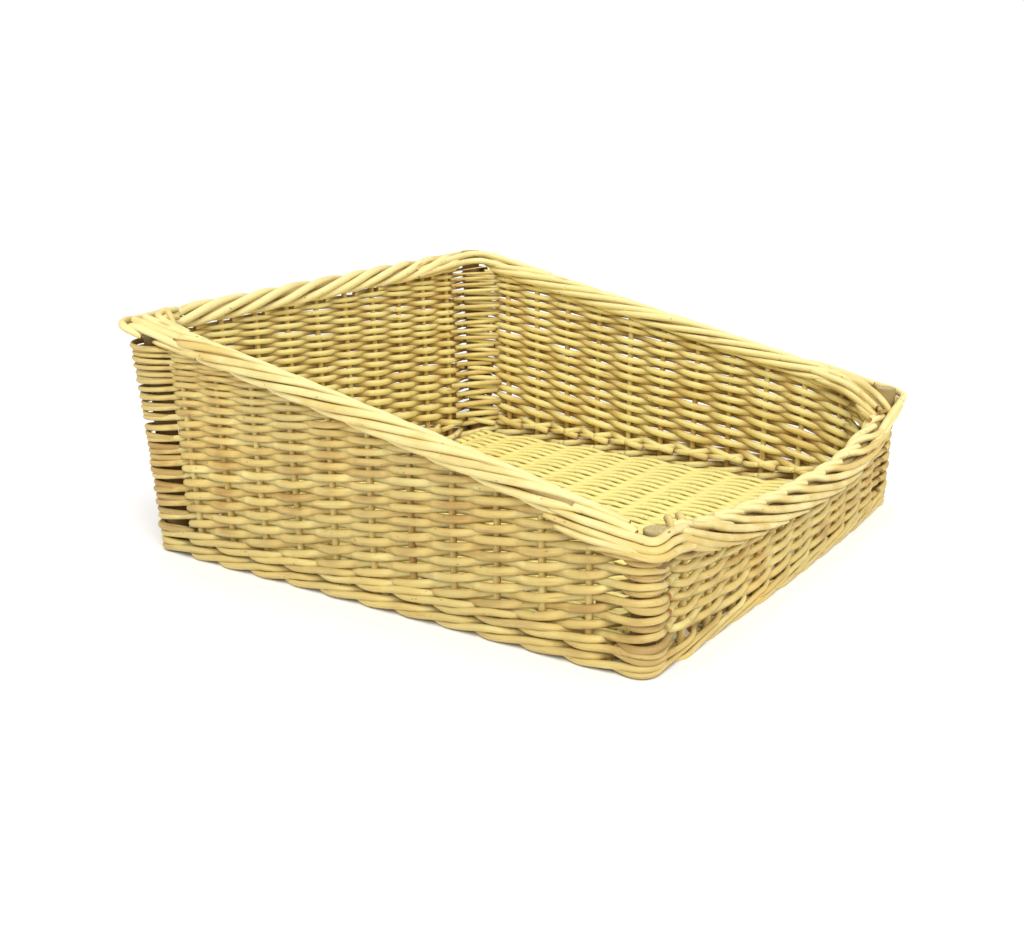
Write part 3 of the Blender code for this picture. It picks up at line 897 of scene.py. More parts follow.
        # Painted shade: browner where the rod crosses between uprights, and on the flanks that face its
        # neighbours.
        shade = self.crossing_shade * ease(1 - np.abs(side) / self.crossing_width)
        square = inward(plan)
        away = beside(square, side, self.away_rise)
        butt, butt_length = self.butt_fade
        tucked = self.butt_in * ease((butt - level) / butt_length)[:, None] * square
        path = solid_path(plan + tucked, height)
        gone = run_length(path)
        under = height < WALLS.rim(place) - random.uniform(*self.under_rim)
        outside = 0.5 + 0.5 * side
        for wall in Wall:
            _, low, high = wall.value
            for lap in (0, WALLS.uprights):
                first, last = low + lap, high + lap
                inside = (place >= first - 1e-6) & (place <= last + 1e-6) & under
                for part in stretches(inside, self.shortest):
                    ends = place[part][[0, -1]]
                    bundles[wall].add(
                        path[part],
                        radius[part] * self.flat_share,
                        tone,
                        shade[part],
                        outside[part],
                        height=swell[part] / self.flat_share,
                        sawn=(float(ends[0] > first + 0.05), float(ends[1] < last - 0.05)),
                        start=float(gone[part.start]),
                        away=away[part],
                        groove=self.groove + self.groove_outside * outside[part],
                    )

    def _wrap_posts(self, bundles: dict[Wall, Bundle], random: Random) -> None:
        """Lays short lengths at each post between the passing rods: horseshoes outside, chords inside.

        A horseshoe is a leg along one wall, a quarter circle about the post and a leg along the next wall,
        and both legs' tips turn in. A chord runs straight from one wall's inner face to the next.

        Args:
            bundles: Where the lengths go.
            random: Source of their small irregularities.
        """
        for corner, post in enumerate(WALLS.posts):
            bundle = bundles[Wall.LEFT if corner in (0, 1) else Wall.RIGHT]
            come, leave, middle = WALLS.corner(corner)
            inner = (*-(come + leave) / math.sqrt(2), 0.2)
            place = np.array([float(post)])
            top = float(WALLS.rim(place)[0]) - self.top_gap
            for level in range(self.levels + 2):
                spot = np.array([float(level)])
                height = float(self.height(spot, place)[0])
                if height > top or (corner, level) in self.left_out:
                    continue
                pitch = float(self.pitch(spot, place)[0])
                thick = min(pitch * 0.5, self.thickest_wrap) * random.uniform(0.90, 1.0)
                tone = float(random.uniform(*self.post_tone))
                if level % 2 == 0:
                    plan, bend = self._horseshoe(corner, level, random)
                    path = solid_path(middle + plan, height + self.tilt * random.normal() * bend)
                    away = np.concatenate([unit(plan), np.zeros((len(plan), 1))], 1)
                    # Painted shade: a horseshoe browns towards its tucked-in tips.
                    shade = 0.05 + 0.25 * np.abs(bend)
                    bundle.add(path, thick, tone, shade, 1.0, away=away, groove=self.horseshoe_groove)
                else:
                    plan, share = self._chord(corner, random)
                    path = solid_path(middle + plan, height + self.tilt * random.normal() * (share - 0.5))
                    # Painted shade: a chord browns towards its ends, where it goes behind the rods.
                    shade = 0.1 + 0.3 * (np.abs(share - 0.5) * 2) ** 2
                    bundle.add(path, thick, tone, shade, 0.0, away=inner, groove=self.chord_groove)

    def _horseshoe(self, corner: int, level: int, random: Random) -> tuple[Array, Array]:
        """Plan of a horseshoe about a post's middle.

        Args:
            corner: Number of the post.
            level: Level that it fills.
            random: Source of small irregularities.

        Returns:
            Points from the post's middle (n, 2), and how far round each is, -1 to 1, (n,).
        """
        come, leave, _ = WALLS.corner(corner)
        extra = self.wrap_extra_mm[corner] * MM * float(self.widening(np.array([level]))[0])
        arm = WALLS.post_radius + self.wrap_gap + extra - 0.0004 + self.jitter_wrap * random.normal()
        spreads = self.leg_spread_mm * random.normal(0.0, 1.0, 2)
        first, last = (np.array(self.legs_mm[corner]) + spreads) * MM
        share = np.linspace(1.0, 0.0, 7)[:-1]
        leg = arm - (self.tuck + extra) * share**2
        coming = leg[:, None] * come - (first * share)[:, None] * leave
        turn = np.linspace(0.0, math.pi / 2, 9)
        arc = arm * (np.cos(turn)[:, None] * come + np.sin(turn)[:, None] * leave)
        leaving = leg[::-1, None] * leave - (last * share)[::-1, None] * come
        return np.concatenate([coming, arc, leaving]), np.linspace(-1.0, 1.0, 21)

    def _chord(self, corner: int, random: Random) -> tuple[Array, Array]:
        """Plan of a chord inside a post, from the post's middle: straight, with a slight bow outwards.

        Args:
            corner: Number of the post.
            random: Source of small irregularities.

        Returns:
            Points from the post's middle (n, 2), and how far along each is, 0 to 1, (n,).
        """
        come, leave, _ = WALLS.corner(corner)
        spreads = self.chord_spread_mm * random.normal(0.0, 1.0, 2)
        first, last = (np.array(self.chord_mm[corner]) + spreads) * MM
        share = np.linspace(0.0, 1.0, 15)
        along = ((-first) * (1 - share) + self.chord_end * share)[:, None] * leave
        across = (self.chord_end * (1 - share) - last * share)[:, None] * come
        bow = self.chord_bow * np.sin(math.pi * share)
        return along + across + bow[:, None] * (come + leave) / math.sqrt(2), share


@dataclass
class Wale:
    """Rows of three-rod wale: each strand passes outside two uprights and inside the next, and rises on
    the outside, so that each lies over the two others."""

    middles: tuple[float, ...] = (0.0062, 0.0180)
    front_middles: tuple[float, ...] = (0.0036, 0.0084)
    nodes: tuple[str, ...] = ("wale_lower", "wale_upper")
    strands: int = 3
    radius: float = 0.0028
    swing: float = 0.0032
    front_share: float = 0.70
    reach: float = 0.0052
    wrap: float = 0.0118
    jitter: float = 0.0004
    tone: Pair = (0.50, 0.15)
    fat: Pair = (0.95, 1.05)
    crossing_shade: float = 0.30
    crossing_width: float = 0.40
    front_fade: Pair = (-0.8, 1.8)
    groove: float = 0.42
    away_rise: float = 0.2
    rod_turns: int = 6
    steps: int = 10
    seed: int = 23

    def build(self) -> list[Bundle]:
        """Twists the strands of each row round the whole basket.

        The height swings as the sine of the strand's phase, whose turn takes three uprights. On the front
        the rows are lower and thinner.

        Returns:
            A bundle for each row.
        """
        random = np.random.default_rng(self.seed)
        bundles = []
        total = WALLS.uprights + self.strands
        place = np.arange(total * self.steps + 1) / self.steps
        number = np.arange(-1, total + 2)
        front = WALLS.on_front(place, *self.front_fade)
        thin = 1 + (self.front_share - 1) * front
        wrap = np.full(len(number), self.wrap)
        for row, (middle, front_middle) in enumerate(zip(self.middles, self.front_middles)):
            bundle = Bundle(f"{self.nodes[row]}_strands")
            centre = middle + (front_middle - middle) * front
            for strand in range(self.strands):
                turn = np.mod(number + strand + row, self.strands)
                outer = np.where(turn == 2, -1.0, 1.0)
                reach = self.reach + self.jitter * random.normal(0.0, 1.0, len(number))
                plan, side = WALLS.route(-1, total + 1, outer, reach, wrap, place)
                phase = (place + strand + row - 0.5) / self.strands * math.tau
                jitter = random.normal(0.0, self.jitter, len(number))
                height = centre + self.swing * thin * np.sin(phase) + np.interp(place, number, jitter)
                path = solid_path(plan, height)
                away = beside(inward(plan), side, self.away_rise)
                # Painted shade: browner where a strand crosses the wall, and on flanks that face the other
                # strands.
                shade = self.crossing_shade * ease(1 - np.abs(side) / self.crossing_width)
                inside = (2 - strand - row) % self.strands
                last = WALLS.uprights + (1 - strand - row) % self.strands
                cuts = np.array([*range(inside, last - 3, self.rod_turns), last]) * self.steps
                for begin, end in zip(cuts[:-1], cuts[1:]):
                    part = slice(begin, end + 1)
                    bundle.add(
                        path[part],
                        tone=drawn_tone(random, *self.tone),
                        radius=self.radius * thin[part] * random.uniform(*self.fat),
                        shade=shade[part],
                        outer=0.5 + 0.5 * side[part],
                        sawn=(0.0, 0.0),
                        away=away[part],
                        groove=self.groove,
                    )
            bundles.append(bundle)
        return bundles


# ---- borders


@dataclass
class Roll:
    """Rolled border: each stake's top lies in the roll as a strand that turns slowly round it.

    The outer and inner starts and ends say how far from the posts, in uprights, a strand is drawn down
    into the roll where it lies on the roll's outside or inside. tip_thin says by how much a strand thins
    at its tip, and from what share of its length over what share. Three core rods fill the middle,
    darkened with painted shade as the roll's shadowed inside.
    """

    node: str
    begin: float
    end: float
    strands: float
    arm: float = 0.0070
    radius: float = 0.0029
    bow: float = 0.0
    outer_start: float = 0.3
    outer_end: float = 0.3
    inner_start: float = 0.3
    inner_end: float = 0.3
    first_turn: float = -108.0
    tone: Pair = (0.60, 0.14)
    fat: Pair = (0.92, 1.08)
    clip_jitter: float = 0.12
    butt_shade: float = 0.30
    groove: float = 0.32
    tuck_depth: float = 0.55
    tuck_thin: float = 0.45
    tuck_length: float = 0.5
    overrun: Pair = (0.6, 1.8)
    tip_thin: Triple = (0.72, 0.62, 0.40)
    core_arm: float = 0.0033
    core_radius: float = 0.0035
    core_ends: Pair = (1.0, 1.3)
    shortest: int = 6
    steps: int = 7
    seed: int = 5

    def line(self, place: Array) -> tuple[Array, Array]:
        """Middle of the roll and its outward direction.

        Args:
            place: Places round the basket, (n,).

        Returns:
            Upright points, (n, 3), and directions, (n, 3).
        """
        inner = np.clip(place, self.begin + 1e-6, self.end - 1e-6)
        plan = WALLS.centre(inner)
        share = (inner - self.begin) / (self.end - self.begin)
        height = WALLS.rim(inner) + self.bow * np.sin(math.pi * share)
        outward, _ = WALLS.directions()
        wall = WALLS.wall_of(np.array([(self.begin + self.end) / 2]))[0]
        normal = np.broadcast_to(np.append(outward[wall], 0.0), (len(place), 3))
        return np.concatenate([plan, height[:, None]], 1), normal

    def about(self, middle: Array, normal: Array, arm: Array | float, turn: Array) -> Array:
        """Points about the roll's middle: out by the arm's cosine of the turn, up by its sine, (n, 3)."""
        return middle + normal * (arm * np.cos(turn))[:, None] + np.outer(arm * np.sin(turn), UP)

    def build(self) -> Bundle:
        """Lays the strands: a helix whose arm grows as the strand leaves the wall, then shrinks at its tip.

        Returns:
            The roll's rods.
        """
        random = np.random.default_rng(self.seed)
        bundle = Bundle(f"{self.node}_roll")
        first = math.floor(self.begin - self.strands) + 1
        for stake in range(first, math.ceil(self.end)):
            length = self.strands + random.uniform(*self.overrun)
            place = stake + np.linspace(0.0, length, int(length * self.steps) + 1)
            t = place - stake
            turn = np.radians(self.first_turn) + math.tau * t / self.strands + 0.09 * random.normal()
            turn = turn + 0.05 * np.sin(t * random.uniform(1.5, 3.0) + random.uniform(0.0, 6.0))
            outer = ease(0.5 + np.cos(turn))
            low, high = (
                inner + (outside - inner) * outer + self.clip_jitter * random.uniform(-1, 1)
                for inner, outside in ((self.inner_start, self.outer_start), (self.inner_end, self.outer_end))
            )
            keep = (place >= self.begin + low) & (place <= self.end - high)
            arm = self.arm * (0.5 + 0.5 * ease(t / 0.8)) * (1 - 0.30 * ease((t - self.strands + 0.6) / 1.8))
            thick = self.radius * random.uniform(*self.fat)
            thin, thin_from, thin_over = self.tip_thin
            thick = thick * (1 - thin * ease((t - thin_from * length) / (thin_over * length)) ** 1.5)
            middle, normal = self.line(place)
            path = self.about(middle, normal, arm, turn)
            away = self.about(np.zeros_like(middle), normal, 1.0, turn)
            tone = drawn_tone(random, *self.tone)
            for part in stretches(keep, self.shortest):
                here = place[part]
                from_start = np.where(part.start == 0, math.inf, here - here[0])
                from_stop = np.where(part.stop == len(place), math.inf, here[-1] - here)
                tuck = ease(np.minimum(from_start, from_stop) / self.tuck_length)
                sunk = path[part] + (middle[part] - path[part]) * (self.tuck_depth * (1 - tuck))[:, None]
                bundle.add(
                    WALLS.lean(sunk),
                    thick[part] * (1 - self.tuck_thin + self.tuck_thin * tuck),
                    tone,
                    # Painted shade: the strand's start, where it comes out from under the roll, is browner,
                    # and its flanks are browned too.
                    self.butt_shade * (1 - ease(t[part] / 0.5)),
                    0.5 + 0.5 * np.cos(turn[part]),
                    guide=normal[0],
                    away=away[part],
                    groove=self.groove,
                )
        for core in range(3):
            place = np.linspace(self.begin + self.core_ends[0], self.end - self.core_ends[1], 60)
            middle, normal = self.line(place)
            path = self.about(middle, normal, self.core_arm, core * math.tau / 3 + place * 0.3)
            # Painted shade: the core rods get a low tone and heavy shade, a dark fill for the shadow inside
            # the roll.
            bundle.add(WALLS.lean(path), self.core_radius, 0.3, 0.75, 0.5, guide=normal[0])
        return bundle


@dataclass(frozen=True)
class CornerRods:
    """Border rods at one corner post, each on a smooth curve through listed points.

    A point is (ahead, out, up) in millimetres from the post's middle at the border's height: ahead runs on
    along the wall that comes to the post, out is square to that wall, away from the basket. Before its
    points, a rod has its half thickness in millimetres and its tone.
    """

    corner: int
    rods: tuple[tuple[float, float, tuple[Triple, ...]], ...]
    steps: int = 7
    groove: float = 0.42

    def add_to(self, bundle: Bundle) -> None:
        """Adds the rods to a border's bundle.

        Args:
            bundle: The border's rods.
        """
        come, leave, corner = WALLS.corner(self.corner)
        rim = float(WALLS.rim(np.array([float(WALLS.posts[self.corner])]))[0])
        for radius, tone, points in self.rods:
            table = np.array(points) * MM
            plan = corner + table[:, :1] * leave + table[:, 1:2] * come
            path = through(np.concatenate([plan, rim + table[:, 2:]], axis=1), self.steps)
            place = np.linspace(0.0, 1.0, len(path))
            taper = 1 - 0.35 * np.abs(2 * place - 1) ** 6
            # Painted shade on the flanks that face the post and the rods below.
            away = unit(path - np.array([*corner, rim - 0.004]))
            away = away * np.array([0.8, 0.8, 0.0]) + np.array([0.0, 0.0, 0.6])
            bundle.add(WALLS.lean(path), radius * MM * taper, tone, 0.0, 0.8, away=away, groove=self.groove)


CORNER_A = CornerRods(
    0,
    (
        (3.3, 0.45, (
            (-40, 13, -1.5), (-17, 17, 0.3), (-4, 19.4, 1.8), (7, 20, 3), (14, 18.4, 2), (17.2, 12.4, 0),
            (16.8, 4.6, -2.6), (14, -2, -6),
        )),
        (3.1, 0.6, (
            (13.8, 11, 0.6), (14.4, 3, 0.8), (14.2, -7, -1), (13.6, -18, -3.6), (13.2, -36, -8),
            (13, -60, -13),
        )),
        (3.2, 0.55, (
            (-40, 11, 5.5), (-18, 13.5, 4.5), (0, 14.5, 4.2), (8.5, 10, 4.6), (10.8, 1, 4), (11, -12, 1.5),
            (10.6, -34, -3), (10, -60, -8.5),
        )),
        (3.1, 0.65, (
            (-30, 6, 8), (-15, 7, 6.8), (-3, 7.5, 6.2), (4.5, 2.5, 6.8), (7, -9, 5.4), (7.5, -28, 1.8),
            (7, -54, -3.5),
        )),
        (2.9, 0.45, ((-26, 1, 8.5), (-14, 0, 9.5), (-5, -2, 8.5), (1, -9, 7), (3.5, -22, 4), (4, -44, -0.5))),
        (2.8, 0.4, ((-22, -4, 3), (-12, -5, 5), (-4, -8, 5), (0, -18, 2.5), (0, -40, -2))),
        (3.0, 0.35, ((-14, 9, 1), (-14, 4, 7.5), (-12.5, -2, 9), (-10, -8, 6.5), (-8, -14, 0))),
        (2.6, 0.3, ((12.6, -14, -9.5), (13, -24, -10.6), (12.8, -38, -13), (12, -56, -17))),
        (1.9, 0.2, ((9, -8, -11), (11, -14, -10.2), (12, -22, -9.6))),
    ),
)
CORNER_B = CornerRods(
    1,
    (
        (2.9, 0.5, (
            (-62, 14, 12.5), (-44, 14.2, 9.5), (-33.6, 14, 8), (-22.8, 13.6, 6.6), (-10.7, 13, 4.8),
            (0, 12.2, 3.6), (8, 12.2, 2.8), (12.4, 9.6, 3), (13.6, 3, 3.8), (12.6, -7, 3.8), (10.5, -22, 1),
            (6, -46, -4), (2, -72, -9.3), (0, -95, -13),
        )),
        (2.8, 0.36, (
            (-66, 14.8, 7), (-33.6, 15, 2.4), (-15.6, 15, 0), (-1.4, 14.6, -1.8), (8, 14.2, -2.6),
            (13.4, 11.6, -2.6), (15.8, 5, -2), (15.4, -5, -1.8), (14.4, -18, -3.6), (12, -38, -8),
            (9, -60, -12), (6, -88, -16),
        )),
        (2.9, 0.28, (
            (-34, 12.5, -9.5), (-18, 14.6, -6.6), (-5, 15.2, -6.2), (6, 15.2, -6.8), (13.6, 13, -7.4),
            (17.2, 6, -7.6), (17.4, -3, -7.8), (16.6, -14, -9), (15.6, -32, -13), (14, -60, -19),
            (12.8, -92, -25),
        )),
        (2.9, 0.45, ((-58, 14.5, 1), (-36, 15, -2.5), (-18, 15.4, -3.2), (-4, 15.2, -3.8), (4, 14.6, -4.4))),
        (2.9, 0.5, ((-60, 4, 20), (-40, 3.5, 15.5), (-26, 2.5, 12), (-15, 1.5, 9.5))),
        (2.9, 0.6, ((-64, 10, 18), (-40, 9.5, 13.6), (-22, 9, 10.6), (-8, 9.6, 8), (-1, 11, 6.4))),
        (2.6, 0.05, ((-70, -1, 16), (-46, -1, 12), (-30, -0.5, 9.5), (-20, -1, 7.5))),
        (2.6, 0.5, ((-56, 6.5, 20.5), (-36, 6.5, 16.5), (-18, 5.5, 12), (-9, 5, 10))),
        (2.8, 0.35, ((6, -17, -14), (7.4, -18.5, -3), (5, -21, 4.5), (1, -26, 5.5), (-3, -34, 2))),
        (2.8, 0.35, ((6, -34, -18), (7, -35, -6), (4.5, -38, 1.2), (0, -44, 2), (-4, -53, -3))),
        (2.8, 0.5, ((2, -16, -14), (3, -24, -3), (6, -36, -1), (10, -54, -6), (13, -80, -13))),
        (2.8, 0.6, ((1, -32, -18), (2, -42, -8), (5, -54, -6), (10, -74, -11), (13.5, -98, -18))),
    ),
)
CORNER_C = CornerRods(
    2,
    (
        (3.2, 0.7, (
            (-62, 13, -34), (-42, 13.6, -28), (-25, 14.2, -19), (-10, 16, -9), (2, 17.6, -2), (10, 17.6, 1.5),
            (15, 12.5, 3.5), (17, 4, 5.5), (16, -8, 7.5), (14.5, -24, 11), (13.5, -44, 15.5),
        )),
        (3.1, 0.6, (
            (-50, 14, -36), (-30, 15, -27), (-14, 16, -17), (0, 17.2, -9), (9, 15.5, -5), (14.5, 9, -2.5),
            (16.5, 0, 0), (16, -14, 3), (15, -32, 7),
        )),
        (3.3, 0.66, (
            (2, -66, 17), (0, -40, 11.5), (-2, -24, 7), (-6, -12, 2), (-10, -4, -6), (-12, 3.5, -18),
        )),
        (3.2, 0.78, (
            (5, -60, 19.5), (4, -36, 14), (1, -18, 8.5), (-3, -5, 3), (-7, 5, -8), (-14, 9, -22),
            (-28, 10, -37), (-48, 9, -46),
        )),
        (3.1, 0.72, ((12, -70, 22), (12.5, -44, 17), (11.5, -22, 12.2), (10.5, -9, 9.5))),
        (2.9, 0.55, ((7, -50, 18), (7, -30, 14), (4, -16, 10), (0, -8, 6), (-3, 2, -2), (-6, 10, -12))),
        (2.9, 0.45, ((-44, 6, -40), (-30, 9, -32), (-18, 12.5, -22), (-9, 14, -13), (-3, 13.5, -7))),
        (2.8, 0.6, ((-54, 2, -38), (-38, 2, -30), (-24, 4, -22), (-13, 7, -14))),
        (3.1, 0.5, ((5, -60, 17), (3, -36, 11.5), (-2, -20, 6), (-9, -8, 1), (-12.5, 3, -5))),
        (3.0, 0.45, (
            (8, -58, 18), (4, -30, 13.6), (-3, -9, 8.4), (-9, 6, 0.5), (-6.5, 12.5, -10), (-10, 14, -22),
            (-22, 14, -33),
        )),
        (2.9, 0.35, (
            (6, 13, -10), (11, 11, -4), (13.4, 7, 0.5), (13.6, 0, 4.5), (13, -10, 8.5), (12, -26, 12.5),
        )),
        (3.1, 0.42, ((1, -60, 10), (-2, -34, 4), (-7, -18, -1.5), (-12, -6, -7), (-14, 4, -13))),
        (2.9, 0.48, ((-8, -16, -6), (-13, -8, -10), (-15, 2, -16), (-17, 9, -23), (-26, 12, -32))),
    ),
)
CORNER_D = CornerRods(
    3,
    (
        (3.3, 0.85, (
            (-86, 9, -9.5), (-50, 7.5, -2), (-24, 5, 3.6), (-7, 2, 6.4), (0, -9, 6.6), (1.5, -28, 5.4),
            (2, -48, 3.8), (2, -92, 0.5),
        )),
        (3.2, 0.72, (
            (-84, 4, -14), (-50, 3, -7.5), (-26, 1.5, -2.8), (-11, -1.5, -0.2), (-3, -12, 0), (0, -35, -0.8),
            (0, -60, -2.4), (0, -92, -5),
        )),
        (3.2, 0.56, (
            (-60, 13, -9.5), (-34, 13, -2.5), (-12, 14, 3), (2, 15, 4.6), (12, 11, 5.2), (15.5, 0, 5.2),
            (14.5, -18, 4.6), (12, -40, 4),
        )),
        (3.1, 0.45, (
            (-60, 14.5, -15), (-30, 15, -6.5), (-8, 15.5, -1.5), (5, 15.5, -0.5), (14, 10, 0), (17, -2, -0.5),
            (16, -20, -1), (15, -42, -1.5),
        )),
        (3.0, 0.65, ((-66, 11, -7.5), (-40, 11, -1), (-22, 10, 3.4), (-12, 9, 5.5))),
        (3.0, 0.5, ((8, -70, 6.4), (8, -44, 6.6), (8.4, -26, 6.2), (9, -14, 5.8))),
    ),
)


@dataclass
class Plait:
    """Plaited front border: each stake's pair comes up inside, crosses over to the outside and runs along
    its lower edge.

    A point of the long and the short rod is (along, out, up) from the stake's place on the rim. A rod
    that is cut near a post is drawn in there: ends gives, for left and right, the distance from the post,
    the length over which it is drawn in, and by how much. tip gives how much a rod tapers, from where and
    over what length; crest how much it swells over the rim, where and how widely.
    """

    node: str = "border_front"
    begin: int = 12
    end: int = 23
    steps: int = 8
    radius: float = 0.0028
    ends: tuple[Triple, Triple] = ((0.016, 0.022, 0.5), (0.010, 0.015, 0.3))
    cut_spread: float = 0.008
    jitter_along: float = 0.0012
    jitter: float = 0.0004
    tone: Pair = (0.50, 0.15)
    fat: Pair = (0.94, 1.06)
    groove: float = 0.40
    tip: Triple = (0.45, 0.10, 0.055)
    crest: Triple = (0.20, 0.022, 0.024)
    cut_radius: Pair = (0.55, 0.45)
    inset: float = 0.01
    away_lift: float = 0.003
    # Painted shade at a rod's start, where it comes up from under the plait, and the length over which it
    # fades.
    painted_start_shade: Pair = (0.3, 0.01)
    outer_reach: float = 0.012
    cores: int = 3
    core_rings: int = 60
    core_tone: float = 0.3
    core_shade: float = 0.7
    core_arm: float = 0.0032
    core_radius: float = 0.0034
    core_sink: float = 0.001
    core_end: float = 0.35
    guide: Triple = (0.0, -1.0, 0.0)
    shortest: int = 8
    seed: int = 77
    long_mm: tuple[Triple, ...] = (
        (-4.0, 0.0, -12.0),
        (0.0, -4.0, -6.0),
        (5.0, -7.5, 1.5),
        (14.0, -6.0, 7.5),
        (26.0, 0.0, 9.5),
        (42.0, 6.0, 6.5),
        (76.0, 8.4, 1.2),
        (114.0, 8.4, -4.2),
        (152.0, 7.0, -8.8),
    )
    short_mm: tuple[Triple, ...] = (
        (9.0, -1.0, -9.0),
        (10.0, -6.5, -2.0),
        (14.0, -9.0, 4.0),
        (23.0, -7.5, 8.5),
        (34.0, -3.0, 10.6),
        (45.0, 1.0, 10.0),
    )

    def build(self) -> Bundle:
        """Lays each pair on smooth curves through points given from its stake and the rim.

        The long rod of a pair runs on along the outside; the short one is cut off on top.

        Returns:
            The plait's rods.
        """
        random = np.random.default_rng(self.seed)
        bundle = Bundle(f"{self.node}_plait")
        gap = 2 * WALLS.post_x / WALLS.end_gaps
        (left, left_fade, left_share), (right, right_fade, right_share) = self.ends
        tip_share, tip_begin, tip_length = self.tip
        crest_share, crest_place, crest_width = self.crest
        thin, growth = self.cut_radius
        dark, dark_length = self.painted_start_shade
        for stake in range(self.begin - 3, self.end):
            for shape in (self.long_mm, self.short_mm):
                curve = through(np.array(shape) * MM, self.steps)
                along = curve[:, 0]
                x = -WALLS.post_x + (stake - self.begin) * gap + along + self.jitter_along * random.normal()
                keep = x > -WALLS.post_x + left + self.cut_spread * random.uniform()
                keep &= x < WALLS.post_x - right
                if keep.sum() < self.shortest:
                    continue
                place = self.begin + (x + WALLS.post_x) / gap
                rim = WALLS.rim(np.clip(place, self.begin + self.inset, self.end - self.inset))
                cut = 1 - left_share * (1 - ease((x + WALLS.post_x - left) / left_fade))
                cut = cut - right_share * (1 - ease((WALLS.post_x - right - x) / right_fade))
                outward = (curve[:, 1] + self.jitter * random.normal()) * cut
                height = rim + (curve[:, 2] + self.jitter * random.normal()) * cut
                points = np.stack([x, -WALLS.end_y - outward, height], -1)
                away = unit(np.stack([np.zeros_like(x), -outward, height - rim + self.away_lift], -1))
                tip = (1 - tip_share * ease((along - tip_begin) / tip_length)) * (thin + growth * cut)
                crest = 1 + crest_share * ease(1 - np.abs(along - crest_place) / crest_width)
                bundle.add(
                    WALLS.lean(points[keep]),
                    (self.radius * tip * crest * random.uniform(*self.fat))[keep],
                    drawn_tone(random, *self.tone),
                    # Painted shade: browner at the rod's start, where it comes up from under the plait.
                    dark * (1 - ease(along[keep] / dark_length)),
                    ease(0.5 + outward[keep] / self.outer_reach),
                    guide=self.guide,
                    away=away[keep],
                    groove=self.groove,
                )
        # Core rods with a low tone and heavy painted shade, a dark fill for the shadow inside the plait.
        place = np.linspace(self.begin + self.core_end, self.end - self.core_end, self.core_rings)
        x = -WALLS.post_x + (place - self.begin) * gap
        for core in range(self.cores):
            spin = core * math.tau / self.cores
            height = WALLS.rim(place) - self.core_sink + self.core_arm * math.sin(spin)
            y = np.full_like(x, -WALLS.end_y - self.core_arm * math.cos(spin))
            path = WALLS.lean(np.stack([x, y, height], -1))
            bundle.add(path, self.core_radius, self.core_tone, self.core_shade, 0.5, guide=self.guide)
        return bundle


# ---- uprights


